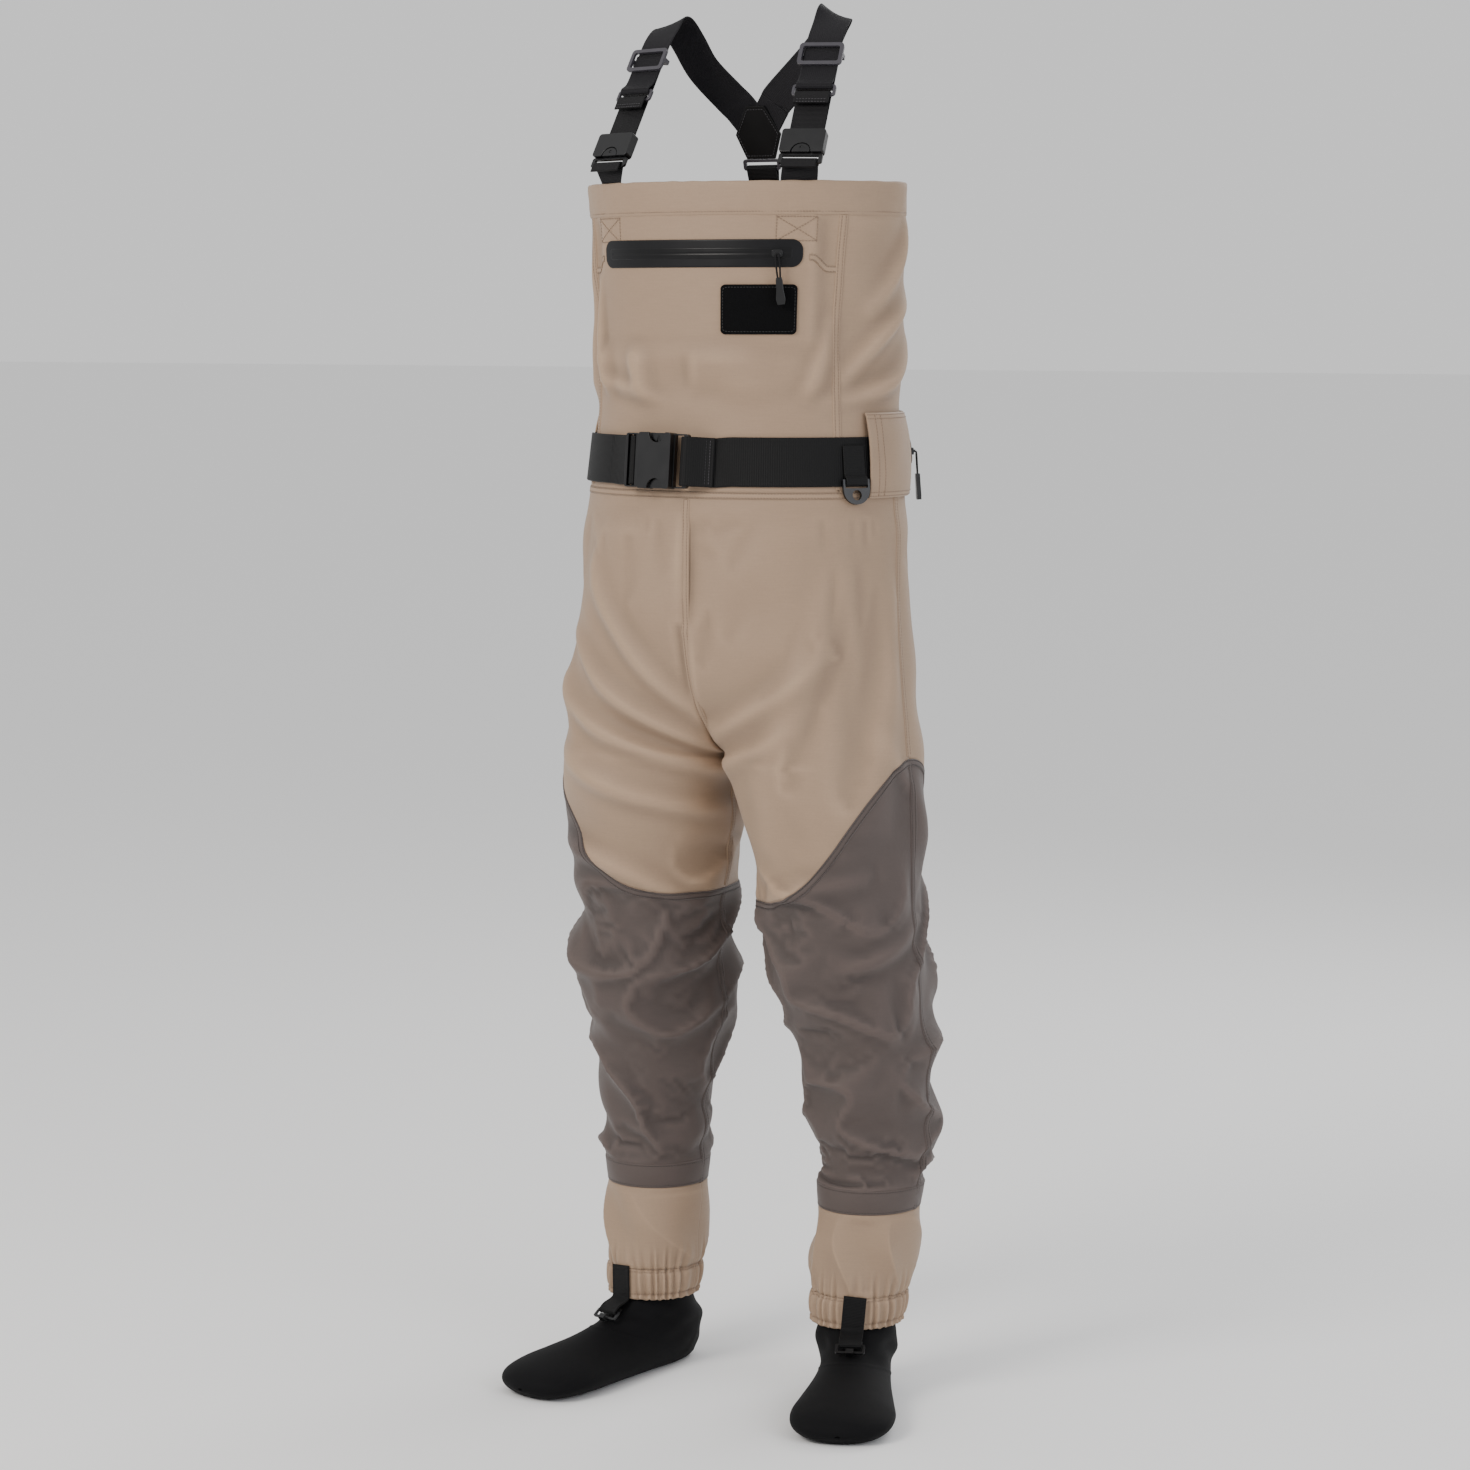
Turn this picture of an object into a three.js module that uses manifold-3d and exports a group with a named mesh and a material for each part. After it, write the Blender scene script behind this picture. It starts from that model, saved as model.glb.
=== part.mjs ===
// Stocking-foot chest waders, standing as they hang on a wearer, in millimetres.
// +Z is up, the wearer faces -Y and the wearer's left is +X. The origin lies on the floor,
// midway between the feet, at the middle of the whole outline.
import * as THREE from "three";
import { mergeVertices } from "three/addons/utils/BufferGeometryUtils.js";
import Module from "manifold-3d";

const wasm = await Module();
wasm.setup();

const V = (x, y, z) => new THREE.Vector3(x, y, z);
const DEG = Math.PI / 180;

// ---------------------------------------------------------------- driving dimensions
const GAP = 0.3; // running gap left between two pieces that are sewn or laid together
const CLOTH = 2; // three-layer laminate with its seam tape
const NEOPRENE = 4;
const BODY_Y = 14; // torso axis, behind the middle of the outline

const RIM_Z = 1265; // top of the bib
const WAIST_SEAM_Z = 953;
const RISE_TOP_Z = 850; // where the two legs have fully become one seat
const CROTCH_Z = 680;
const CUFF_Z = 200; // seam between leg, stocking foot and gravel guard
const KNEE_SEAM = { inseam: 530, rise: 150, power: 6 };

// Torso girth: height, half width, half depth in front, half depth behind, forward sway of the hips.
const TORSO = [
  [680, 191, 118, 135, 14],
  [800, 186, 127, 134, 14],
  [900, 179, 126, 129, 9],
  [985, 170, 124, 121, 2],
  [1050, 165, 122, 116, 0],
  [1120, 168, 124, 110, 0],
  [1200, 173, 125, 98, 0],
  [1265, 178, 124, 82, 0],
];
// Leg: height, distance from the middle plane, set-back from the torso axis, half width, half depth.
const LEG = [
  [80, 124, 13, 48, 50],
  [112, 125, 18, 50, 53],
  [160, 127, 25, 54, 57],
  [200, 129, 31, 53, 56],
  [280, 131, 34, 64, 67],
  [365, 126, 28, 74, 77],
  [470, 116, 10, 84, 89],
  [560, 109, 2, 88, 94],
  [680, 97, -10, 96, 112],
  [850, 92, -10, 92, 130],
];

// Smooth interpolation of one column of a table by height.
function column(table, index, z) {
  const last = table.length - 1;
  if (z <= table[0][0]) return table[0][index];
  if (z >= table[last][0]) return table[last][index];
  const k = table.findIndex((row, i) => i < last && z < table[i + 1][0]);
  const slope = (i) => {
    const lo = Math.max(i - 1, 0);
    const hi = Math.min(i + 1, last);
    return (table[hi][index] - table[lo][index]) / (table[hi][0] - table[lo][0]);
  };
  const span = table[k + 1][0] - table[k][0];
  const s = (z - table[k][0]) / span;
  const h = s * s * (3 - 2 * s);
  return (
    table[k][index] * (1 - h) +
    table[k + 1][index] * h +
    span * s * (1 - s) * ((1 - s) * slope(k) - s * slope(k + 1))
  );
}

// Point of the torso skin at angle t (0 is the wearer's left, -90 degrees the front), moved out by out.
function torso(t, z, out = 0) {
  const depth = column(TORSO, Math.sin(t) < 0 ? 2 : 3, z) + out;
  const y = BODY_Y - column(TORSO, 4, z) + depth * Math.sin(t);
  return V((column(TORSO, 1, z) + out) * Math.cos(t), y, z);
}

// Point of the left leg's skin; u runs 0..1 from the inseam over the front, the outseam and the back.
function leg(u, z, out = 0) {
  const a = 2 * Math.PI * u;
  return V(
    column(LEG, 1, z) - (column(LEG, 3, z) + out) * Math.cos(a),
    BODY_Y + column(LEG, 2, z) - (column(LEG, 4, z) + out) * Math.sin(a),
    z,
  );
}

// Left half of the trousers: a leg ring below the crotch that opens into half the torso above it.
function trouser(u, z, out = 0) {
  const s = Math.min(Math.max((z - CROTCH_Z) / (RISE_TOP_Z - CROTCH_Z), 0), 1);
  const open = Math.sqrt(1 - (1 - s) ** 2);
  const p = leg(u, z, out).lerp(torso((u - 0.5) * Math.PI, z, out), open);
  p.x = Math.max(p.x, GAP);
  return p;
}

const kneeSeam = (u) =>
  KNEE_SEAM.inseam + KNEE_SEAM.rise * Math.sin(Math.PI * u) ** KNEE_SEAM.power;

// ---------------------------------------------------------------- solids
function geometryOf(points, faces) {
  const geometry = new THREE.BufferGeometry();
  geometry.setAttribute(
    "position",
    new THREE.BufferAttribute(new Float32Array(points.flatMap((p) => [p.x, p.y, p.z])), 3),
  );
  let volume = 0;
  for (const [a, b, c] of faces)
    volume += points[a].dot(points[b].clone().cross(points[c]));
  geometry.setIndex(faces.flatMap(([a, b, c]) => (volume < 0 ? [a, c, b] : [a, b, c])));
  return geometry;
}

// A sheet with a thickness: skin(u, v, side) gives its outer face (side 0) and its inner face (side 1).
function sheet(skin, nu, nv, wraps = false) {
  const columns = wraps ? nu : nu + 1;
  const points = [];
  for (const side of [0, 1])
    for (let j = 0; j <= nv; j++)
      for (let i = 0; i < columns; i++) points.push(skin(i / nu, j / nv, side));
  const at = (i, j, side) => side * columns * (nv + 1) + j * columns + (i % columns);
  const faces = [];
  const quad = (a, b, c, d) => faces.push([a, b, c], [a, c, d]);
  for (let j = 0; j < nv; j++)
    for (let i = 0; i < nu; i++) {
      quad(at(i, j, 0), at(i + 1, j, 0), at(i + 1, j + 1, 0), at(i, j + 1, 0));
      quad(at(i, j, 1), at(i, j + 1, 1), at(i + 1, j + 1, 1), at(i + 1, j, 1));
    }
  for (let i = 0; i < nu; i++) {
    quad(at(i, 0, 0), at(i, 0, 1), at(i + 1, 0, 1), at(i + 1, 0, 0));
    quad(at(i, nv, 0), at(i + 1, nv, 0), at(i + 1, nv, 1), at(i, nv, 1));
  }
  if (!wraps)
    for (let j = 0; j < nv; j++) {
      quad(at(0, j, 0), at(0, j + 1, 0), at(0, j + 1, 1), at(0, j, 1));
      quad(at(nu, j, 0), at(nu, j, 1), at(nu, j + 1, 1), at(nu, j + 1, 0));
    }
  return geometryOf(points, faces);
}

// A flat band of webbing: stations of { at, wide } give its middle line and the direction of its width.
function ribbon(stations, width, thickness) {
  const n = stations.length;
  const points = [];
  stations.forEach(({ at, wide }, i) => {
    const ahead = stations[Math.min(i + 1, n - 1)].at;
    const along = ahead.clone().sub(stations[Math.max(i - 1, 0)].at).normalize();
    const across = wide.clone().addScaledVector(along, -wide.dot(along)).normalize();
    const normal = across.clone().cross(along);
    for (const [w, h] of [[-1, -1], [1, -1], [1, 1], [-1, 1]])
      points.push(
        at.clone()
          .addScaledVector(across, (w * width) / 2)
          .addScaledVector(normal, (h * thickness) / 2),
      );
  });
  const faces = [[0, 1, 2], [0, 2, 3]];
  const e = 4 * (n - 1);
  faces.push([e, e + 2, e + 1], [e, e + 3, e + 2]);
  for (let i = 0; i < n - 1; i++)
    for (let k = 0; k < 4; k++) {
      const a = 4 * i + k;
      const b = 4 * i + ((k + 1) % 4);
      faces.push([a, a + 4, b + 4], [a, b + 4, b]);
    }
  return geometryOf(points, faces);
}

// Matrix that carries a shape drawn in x, y and extruded along z to an origin and two directions.
function frameAt(origin, x, y) {
  const z = x.clone().cross(y).normalize();
  return new THREE.Matrix4()
    .makeBasis(x.clone().normalize(), z.clone().cross(x).normalize(), z)
    .setPosition(origin);
}

function outline(points, curveSegments = 6) {
  const shape = new THREE.Shape();
  shape.setFromPoints(points.map(([x, y]) => new THREE.Vector2(x, y)));
  shape.curveSegments = curveSegments;
  return shape;
}

function roundedRect(width, height, radius) {
  const points = [];
  const corners = [[1, 1], [-1, 1], [-1, -1], [1, -1]];
  corners.forEach(([sx, sy], i) => {
    for (let k = 0; k <= 3; k++) {
      const a = (i + k / 3) * 90 * DEG;
      points.push([
        sx * (width / 2 - radius) + radius * Math.cos(a),
        sy * (height / 2 - radius) + radius * Math.sin(a),
      ]);
    }
  });
  return outline(points);
}

// A plate of the shape from z = low to z = high.
function plate(shape, low, high) {
  return new THREE.ExtrudeGeometry(shape, { depth: high - low, bevelEnabled: false, curveSegments: 6 })
    .translate(0, 0, low);
}

function box(x0, x1, y0, y1, z0, z1) {
  return new THREE.BoxGeometry(x1 - x0, y1 - y0, z1 - z0)
    .translate((x0 + x1) / 2, (y0 + y1) / 2, (z0 + z1) / 2);
}

function solidOf(geometry) {
  const bare = new THREE.BufferGeometry();
  const source = geometry.index ? geometry.toNonIndexed() : geometry;
  bare.setAttribute("position", source.getAttribute("position"));
  const merged = mergeVertices(bare, 1e-3);
  return new wasm.Manifold(
    new wasm.Mesh({
      numProp: 3,
      vertProperties: merged.attributes.position.array,
      triVerts: new Uint32Array(merged.index.array),
    }),
  );
}

function geometryOfSolid(solid) {
  const mesh = solid.getMesh();
  const geometry = new THREE.BufferGeometry();
  geometry.setAttribute("position", new THREE.BufferAttribute(mesh.vertProperties, 3));
  geometry.setIndex(new THREE.BufferAttribute(mesh.triVerts, 1));
  return geometry;
}

const join = (first, ...rest) =>
  geometryOfSolid(rest.reduce((sum, g) => sum.add(solidOf(g)), solidOf(first)));
const cut = (first, ...rest) =>
  geometryOfSolid(rest.reduce((left, g) => left.subtract(solidOf(g)), solidOf(first)));

function mirrored(geometry) {
  const copy = geometry.index ? geometry.toNonIndexed() : geometry.clone();
  copy.scale(-1, 1, 1);
  const p = copy.getAttribute("position");
  for (let i = 0; i < p.count; i += 3)
    for (let k = 0; k < 3; k++) {
      const held = p.array[3 * (i + 1) + k];
      p.array[3 * (i + 1) + k] = p.array[3 * (i + 2) + k];
      p.array[3 * (i + 2) + k] = held;
    }
  return copy;
}

// ---------------------------------------------------------------- materials and the group
const finish = (color, roughness, metalness = 0) =>
  new THREE.MeshStandardMaterial({ color, roughness, metalness });
const TAN = finish(0xa89480, 0.6);
const UMBER = finish(0x534845, 0.62);
const NEOPRENE_BLACK = finish(0x151417, 0.85);
const WEBBING = finish(0x241f22, 0.8);
const ELASTIC = finish(0x55505a, 0.8);
const MOULDED = finish(0x17171a, 0.35);
const GREY_ACETAL = finish(0x6f6c6e, 0.4);
const COATED_FILM = finish(0x232227, 0.45);
const HOOK_PILE = finish(0x131317, 0.95);

const waders = new THREE.Group();

function add(name, geometry, material) {
  const mesh = new THREE.Mesh(geometry, material);
  mesh.name = name;
  waders.add(mesh);
}

function pair(name, geometry, material) {
  add(name + "_left", geometry, material);
  add(name + "_right", mirrored(geometry), material);
}

// ---------------------------------------------------------------- bib
// Three panels: a front one between two princess seams, and two that meet at the centre back.
const PRINCESS_SEAM = 33 * DEG; // angle of the front seams behind the wearer's left
const SEAM_ANGLE = 0.12 * DEG;

const BIB_ROW = 52; // height of one row of a bib panel's faces
function bibPanel(from, to, nu) {
  return sheet(
    (u, v, side) =>
      torso(
        from + SEAM_ANGLE + u * (to - from - 2 * SEAM_ANGLE),
        WAIST_SEAM_Z + GAP + v * (RIM_Z - WAIST_SEAM_Z - GAP),
        -side * CLOTH,
      ),
    nu,
    Math.round((RIM_Z - WAIST_SEAM_Z) / BIB_ROW),
  );
}
add("bib_front_panel", bibPanel(-180 * DEG + PRINCESS_SEAM, -PRINCESS_SEAM, 14), TAN);
add("bib_back_left_panel", bibPanel(-PRINCESS_SEAM, 90 * DEG, 12), TAN);
add("bib_back_right_panel", bibPanel(90 * DEG, 180 * DEG + PRINCESS_SEAM, 12), TAN);

// ---------------------------------------------------------------- trouser legs
// Each leg has a front and a back panel in tan laminate down to the curved knee seam,
// and a front and a back panel in the heavier umber laminate below it.
const SEAM_U = 0.001;

function legPanel(from, to, top, bottom, nv) {
  return sheet((i, v, side) => {
    const u = from + SEAM_U + i * (to - from - 2 * SEAM_U);
    return trouser(u, top(u) + v * (bottom(u) - top(u)), -side * CLOTH);
  }, 10, nv);
}
const waist = () => WAIST_SEAM_Z - GAP;
const aboveKneeSeam = (u) => kneeSeam(u) + GAP;
const belowKneeSeam = (u) => kneeSeam(u) - GAP;
const aboveCuff = () => CUFF_Z + GAP;
pair("thigh_front", legPanel(0, 0.5, waist, aboveKneeSeam, 9), TAN);
pair("thigh_back", legPanel(0.5, 1, waist, aboveKneeSeam, 9), TAN);
pair("shin_front", legPanel(0, 0.5, belowKneeSeam, aboveCuff, 7), UMBER);
pair("calf_back", legPanel(0.5, 1, belowKneeSeam, aboveCuff, 7), UMBER);

// ---------------------------------------------------------------- gravel guards
const HEM_TOP_Z = 112;
const HEM_LOW_Z = 80;
const HEM_CLOTH = 2;
const GUARD_SEGMENTS = 20;

const ring = (top, bottom, thickness) =>
  sheet(
    (u, v, side) => leg(u, top + v * (bottom - top), -side * thickness),
    GUARD_SEGMENTS,
    3,
    true,
  );
pair("gravel_guard", ring(CUFF_Z - GAP, HEM_TOP_Z + GAP, CLOTH), TAN);
pair("guard_hem", ring(HEM_TOP_Z, HEM_LOW_Z, HEM_CLOTH), TAN);

// ---------------------------------------------------------------- stocking feet
// Neoprene socks turned out like feet. Each row: instep (forward, up), heel or sole (forward, up),
// half width.
const FOOT_TURN = { left: 22 * DEG, right: 13 * DEG };
const SOCK = [
  [49, 199, -49, 199, 46],
  [45, 165, -45, 165, 43],
  [44, 110, -44, 110, 41.5],
  [43.5, 84, -45, 80, 40.5],
  [56, 70, -57, 52, 40],
  [68, 62, -62, 28, 38],
  [80, 57, -52, 3, 37],
  [94, 53, -25, -4, 39],
  [112, 48, 20, -4, 43],
  [136, 43, 79, -4, 49],
  [160, 38, 133, -4, 54],
  [183, 32, 172, -3, 50],
  [198, 25, 192, 0, 37],
  [204, 17, 201, 6, 18],
];
const legAxis = (z) => V(column(LEG, 1, z), BODY_Y + column(LEG, 2, z), 0);

// Directions of a left foot turned out by turn, and a point forward, sideways and up from its ankle.
const forwardOf = (turn) => V(Math.sin(turn), -Math.cos(turn), 0);
const outwardOf = (turn) => V(Math.cos(turn), Math.sin(turn), 0);
const footPoint = (turn, q, side, z) =>
  legAxis(Math.max(z, HEM_LOW_Z))
    .addScaledVector(forwardOf(turn), q)
    .addScaledVector(outwardOf(turn), side)
    .setZ(z);

// Each foot has its own turn, so its pieces are made for that turn and then mirrored to the right.
function footPair(name, make, material) {
  add(name + "_left", make(FOOT_TURN.left), material);
  add(name + "_right", mirrored(make(FOOT_TURN.right)), material);
}

function sock(turn) {
  const nu = 16;
  const points = [];
  const faces = [];
  const rings = SOCK.length;
  for (const inset of [0, NEOPRENE])
    for (const [fq, fz, bq, bz, w] of SOCK) {
      const length = Math.hypot(fq - bq, fz - bz);
      const shrink = Math.max(length / 2 - inset, 1) / (length / 2);
      const setBack = fq > 195 ? inset : 0;
      for (let i = 0; i < nu; i++) {
        const a = (2 * Math.PI * i) / nu;
        const c = (Math.cos(a) * shrink) / 2;
        const q = (fq + bq) / 2 + (fq - bq) * c - setBack;
        const z = (fz + bz) / 2 + (fz - bz) * c;
        points.push(footPoint(turn, q, Math.sin(a) * Math.max(w - inset, 2), Math.max(z, inset)));
      }
    }
  const at = (i, k, side) => side * rings * nu + k * nu + (i % nu);
  for (let i = 0; i < nu; i++) {
    for (let k = 0; k < rings - 1; k++) {
      const [a, b, c, d] = [at(i, k, 0), at(i + 1, k, 0), at(i + 1, k + 1, 0), at(i, k + 1, 0)];
      const [e, f, g, h] = [at(i, k, 1), at(i + 1, k, 1), at(i + 1, k + 1, 1), at(i, k + 1, 1)];
      faces.push([a, b, c], [a, c, d], [e, g, f], [e, h, g]);
    }
    faces.push([at(i, 0, 0), at(i, 0, 1), at(i + 1, 0, 1)]);
    faces.push([at(i, 0, 0), at(i + 1, 0, 1), at(i + 1, 0, 0)]);
  }
  for (const side of [0, 1]) {
    const middle = points.length;
    const tip = points.slice(at(0, rings - 1, side), at(0, rings - 1, side) + nu);
    points.push(tip.reduce((sum, p) => sum.add(p), V(0, 0, 0)).divideScalar(nu));
    for (let i = 0; i < nu; i++) {
      const face = [at(i, rings - 1, side), at(i + 1, rings - 1, side), middle];
      faces.push(side ? face.reverse() : face);
    }
  }
  return geometryOf(points, faces);
}
footPair("sock", sock, NEOPRENE_BLACK);

// ---------------------------------------------------------------- boot hooks on the guards
// A tab of webbing sewn down the front of the hem, with a bent lace hook in its lower fold.
const TAB_WIDE = 24;
const TAB_THICK = 2;
const HOOK_BAR = 1; // half thickness of the hook's bar
const TAB_FOLD = HOOK_BAR * Math.SQRT2 + GAP + TAB_THICK / 2;
const FOLD_AT = { q: 70, z: 69 };
const tabSlope = -36 * DEG;

// Distance forward from the ankle's axis to the middle of a tab that lies on the guard at height z.
function onGuard(turn, z) {
  const reach = Math.hypot(Math.sin(turn) / column(LEG, 3, z), Math.cos(turn) / column(LEG, 4, z));
  return [1 / reach + 2 * GAP + TAB_THICK / 2, z];
}
// Point near the fold: d along the free end of the tab, n away from the foot.
const nearFold = (d, n) => [
  FOLD_AT.q + d * Math.cos(tabSlope) - n * Math.sin(tabSlope),
  FOLD_AT.z + d * Math.sin(tabSlope) + n * Math.cos(tabSlope),
];
function hookTab(turn) {
  const line = [
    onGuard(turn, 115),
    onGuard(turn, 98),
    onGuard(turn, 87),
    [onGuard(turn, 80)[0] + 1.5, 79.5],
    nearFold(-6, TAB_FOLD),
    ...[90, 45, 0, -45, -90].map((a) => nearFold(TAB_FOLD * Math.cos(a * DEG), TAB_FOLD * Math.sin(a * DEG))),
    nearFold(-7, -TAB_FOLD),
  ];
  const stations = line.map(([q, z]) => ({ at: footPoint(turn, q, 0, z), wide: outwardOf(turn) }));
  return ribbon(stations, TAB_WIDE, TAB_THICK);
}
footPair("hook_tab", hookTab, WEBBING);
// The hook is a small frame whose bar lies in the fold; its nose curls up and back.
const HOOK = { wide: TAB_WIDE + 7, rail: 2.6, reach: 11, nose: 4, rise: 5 };
function laceHook(turn) {
  const low = -HOOK_BAR;
  const frame = plate(roundedRect(HOOK.wide, HOOK.reach - low, 2), -HOOK_BAR, HOOK_BAR)
    .translate(0, (HOOK.reach + low) / 2, 0);
  const side = HOOK.wide / 2 - HOOK.rail;
  const window = box(-side, side, HOOK_BAR, HOOK.reach - HOOK.rail, -9, 9);
  const nose = box(-HOOK.nose, HOOK.nose, HOOK.reach - 1, HOOK.reach + 3, -HOOK_BAR, HOOK_BAR);
  const rise = box(-HOOK.nose, HOOK.nose, HOOK.reach + 1.2, HOOK.reach + 3, -HOOK.rise, HOOK_BAR);
  const tip = box(-HOOK.nose, HOOK.nose, HOOK.reach - 3, HOOK.reach + 3, -HOOK.rise, -HOOK.rise + 1.8);
  const origin = footPoint(turn, FOLD_AT.q, 0, FOLD_AT.z);
  const [aheadQ, aheadZ] = nearFold(1, 0);
  const along = footPoint(turn, aheadQ, 0, aheadZ).sub(origin);
  return join(cut(frame, window), nose, rise, tip).applyMatrix4(frameAt(origin, outwardOf(turn), along));
}
footPair("lace_hook", laceHook, MOULDED);

// ---------------------------------------------------------------- chest pocket
// A bonded film surround with a coil zip through its middle, a cord-and-tab pull and a pocket bag behind.
const ZIP_Z = 1194;
const ZIP_HALF_ANGLE = 41.5 * DEG;
const SURROUND_HALF = 14;
const SURROUND_THICK = 1.1;
const COIL_HALF = 3.4;
const COIL_THICK = 0.9;

// A patch laid on the torso: angles middle +- half, heights z +- tall, rounded corners, standing
// out from low to high. The columns crowd towards the ends, where the corners are.
function patch({ middle, half, radius, z, tall, corner }, low, high, nu, lift = () => 0) {
  return sheet((u, v, side) => {
    const a = half * Math.sin((u - 0.5) * Math.PI);
    const inCorner = 1 - Math.min(((half - Math.abs(a)) * radius) / corner, 1);
    const reach = tall - corner + corner * Math.max(Math.sqrt(1 - inCorner ** 2), 0.2);
    const height = z + (2 * v - 1) * reach;
    return torso(middle + a, height, (side ? low : high) + lift(height));
  }, nu, 2);
}
const FRONT = -90 * DEG;
const CHEST_RADIUS = 165; // skin length of the bib's front for one radian
const surround = {
  middle: FRONT, half: ZIP_HALF_ANGLE, radius: CHEST_RADIUS, z: ZIP_Z, tall: SURROUND_HALF, corner: 12,
};
add("chest_zip_surround", patch(surround, GAP, GAP + SURROUND_THICK, 20), COATED_FILM);
const COIL_LOW = 2 * GAP + SURROUND_THICK;
const COIL_TOP = COIL_LOW + COIL_THICK;
const coil = { ...surround, half: ZIP_HALF_ANGLE - 5 * DEG, tall: COIL_HALF, corner: 2 };
add("chest_zip_coil", patch(coil, COIL_LOW, COIL_TOP, 20), COATED_FILM);
const BAG_HALF_ANGLE = 40 * DEG;
add(
  "chest_pocket_bag",
  sheet(
    (u, v, side) =>
      torso(
        FRONT + (2 * u - 1) * BAG_HALF_ANGLE,
        ZIP_Z + 12 - v * 150,
        -CLOTH - 1.2 - side * (1.2 + 2.4 * Math.sin(Math.PI * u) * Math.sin(Math.PI * v)),
      ),
    12,
    5,
  ),
  TAN,
);

// Frame standing on the torso: x level along the cloth, y up the cloth, z out of it.
function onTorso(t, z, out) {
  const x = torso(t + 0.01, z, out).sub(torso(t - 0.01, z, out));
  const up = torso(t, z + 5, out).sub(torso(t, z - 5, out));
  return frameAt(torso(t, z, out), x, up);
}

function sliderBody() {
  return join(
    plate(roundedRect(11, 7.4, 2.4), 0, 2.2),
    box(-3.2, 3.2, -1.4, 1.4, 2, 4.4),
  );
}

// Cord loop through the slider and the moulded tab on its lower end, hanging by drop.
const CORD_THICK = 1.8;
const CORD_DROP = 24;
const PULL_OUT = 5.6;
function pullCord() {
  const half = CORD_THICK / 2;
  const section = outline(
    [0, 1, 2, 3, 4, 5, 6, 7].map((k) => [half * Math.cos(k * 45 * DEG), half * Math.sin(k * 45 * DEG)]),
  );
  const path = new THREE.CatmullRomCurve3([
    V(-1.3, -CORD_DROP, PULL_OUT),
    V(-1.8, -CORD_DROP / 2, PULL_OUT),
    V(-1.6, -3, PULL_OUT),
    V(0, -0.6, PULL_OUT),
    V(1.6, -3, PULL_OUT),
    V(1.8, -CORD_DROP / 2, PULL_OUT),
    V(1.3, -CORD_DROP, PULL_OUT),
  ]);
  return new THREE.ExtrudeGeometry(section, { steps: 24, bevelEnabled: false, extrudePath: path });
}
function pullTab() {
  const shape = outline([
    [-2.8, 0], [2.8, 0], [3.4, -3], [3.6, -12], [4.8, -22], [3.6, -27], [-3.6, -27], [-4.8, -22],
    [-3.6, -12], [-3.4, -3],
  ].reverse());
  return plate(shape, -2.2, 2.2).translate(0, -CORD_DROP - GAP, PULL_OUT);
}
const CHEST_SLIDER_ANGLE = FRONT + 32 * DEG;
const chestSlider = onTorso(CHEST_SLIDER_ANGLE, ZIP_Z, COIL_TOP + GAP);
const hungFrom = (frame, lean) =>
  frame.clone().multiply(new THREE.Matrix4().makeRotationZ(lean));
const chestHang = hungFrom(chestSlider, 5 * DEG);
add("chest_zip_slider", sliderBody().applyMatrix4(chestSlider), MOULDED);
add("chest_pull_cord", pullCord().applyMatrix4(chestHang), WEBBING);
add("chest_pull_tab", pullTab().applyMatrix4(chestHang), MOULDED);

// Hook-and-loop badge patch, sewn flat on the bib below the zip.
const BADGE = { wide: 80, high: 50, thick: 1.8 };
const badge = {
  middle: -64 * DEG, half: BADGE.wide / 2 / CHEST_RADIUS, radius: CHEST_RADIUS,
  z: 1138, tall: BADGE.high / 2, corner: 5,
};
add("badge_patch", patch(badge, 2 * GAP, 2 * GAP + BADGE.thick, 12), HOOK_PILE);

// ---------------------------------------------------------------- belt
const BELT = { low: 960, high: 1010, thick: 2.2 };
const BELT_IN = 1;
const BELT_OUT = BELT_IN + BELT.thick;
const BUCKLE_X = -28;
const BUCKLE_OUT = BELT_OUT + 3.6;
const beltMid = (BELT.low + BELT.high) / 2;
const BUCKLE_ANGLE = -Math.acos(BUCKLE_X / column(TORSO, 1, beltMid));
const buckle = onTorso(BUCKLE_ANGLE, beltMid, BUCKLE_OUT);
const BELT_WIDE = BELT.high - BELT.low;

// Stations of the belt: laid on the torso, and in the buckle's own frame.
const beltAcross = (t) => torso(t, BELT.high).sub(torso(t, BELT.low));
const laid = (t, out) => ({ at: torso(t, beltMid, out), wide: beltAcross(t) });
const atBuckle = ([x, z]) => ({
  at: V(x, 0, z).applyMatrix4(buckle),
  wide: beltAcross(BUCKLE_ANGLE),
});
const spread = (from, to, steps) =>
  Array.from({ length: steps + 1 }, (_, k) => from + ((to - from) * k) / steps);
const beltAngle = (along) => BUCKLE_ANGLE + along / 170;
const arc = (x, z, radius, from, to, steps) =>
  spread(from, to, steps).map((a) => [x + radius * Math.cos(a * DEG), z + radius * Math.sin(a * DEG)]);

// The webbing folds round the socket's bar and is stitched to itself, then runs once round the waist.
const SOCKET_BAR = { x: 35.25, z: 3.5, halfX: 2.75, halfZ: 2.5 };
const SOCKET_FOLD = Math.hypot(SOCKET_BAR.halfX, SOCKET_BAR.halfZ) + 2 * GAP + BELT.thick / 2;
const PLUG_END = -38.6;
const TAIL_END = -157 * DEG;
add(
  "belt_webbing",
  ribbon(
    [
      ...[[60, -9.6], [54, -6.2], [48, -1.2], [42.5, 4]].map(atBuckle),
      ...arc(SOCKET_BAR.x, SOCKET_BAR.z, SOCKET_FOLD, 70, 285, 7).map(atBuckle),
      ...[[47, -4.8], [54, -9.4], [61, -12.9]].map(atBuckle),
      ...spread(beltAngle(76), beltAngle(PLUG_END - 14) + 2 * Math.PI, 44)
        .map((t) => laid(t, BELT_IN + BELT.thick / 2)),
    ],
    BELT_WIDE,
    BELT.thick,
  ),
  WEBBING,
);
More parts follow.
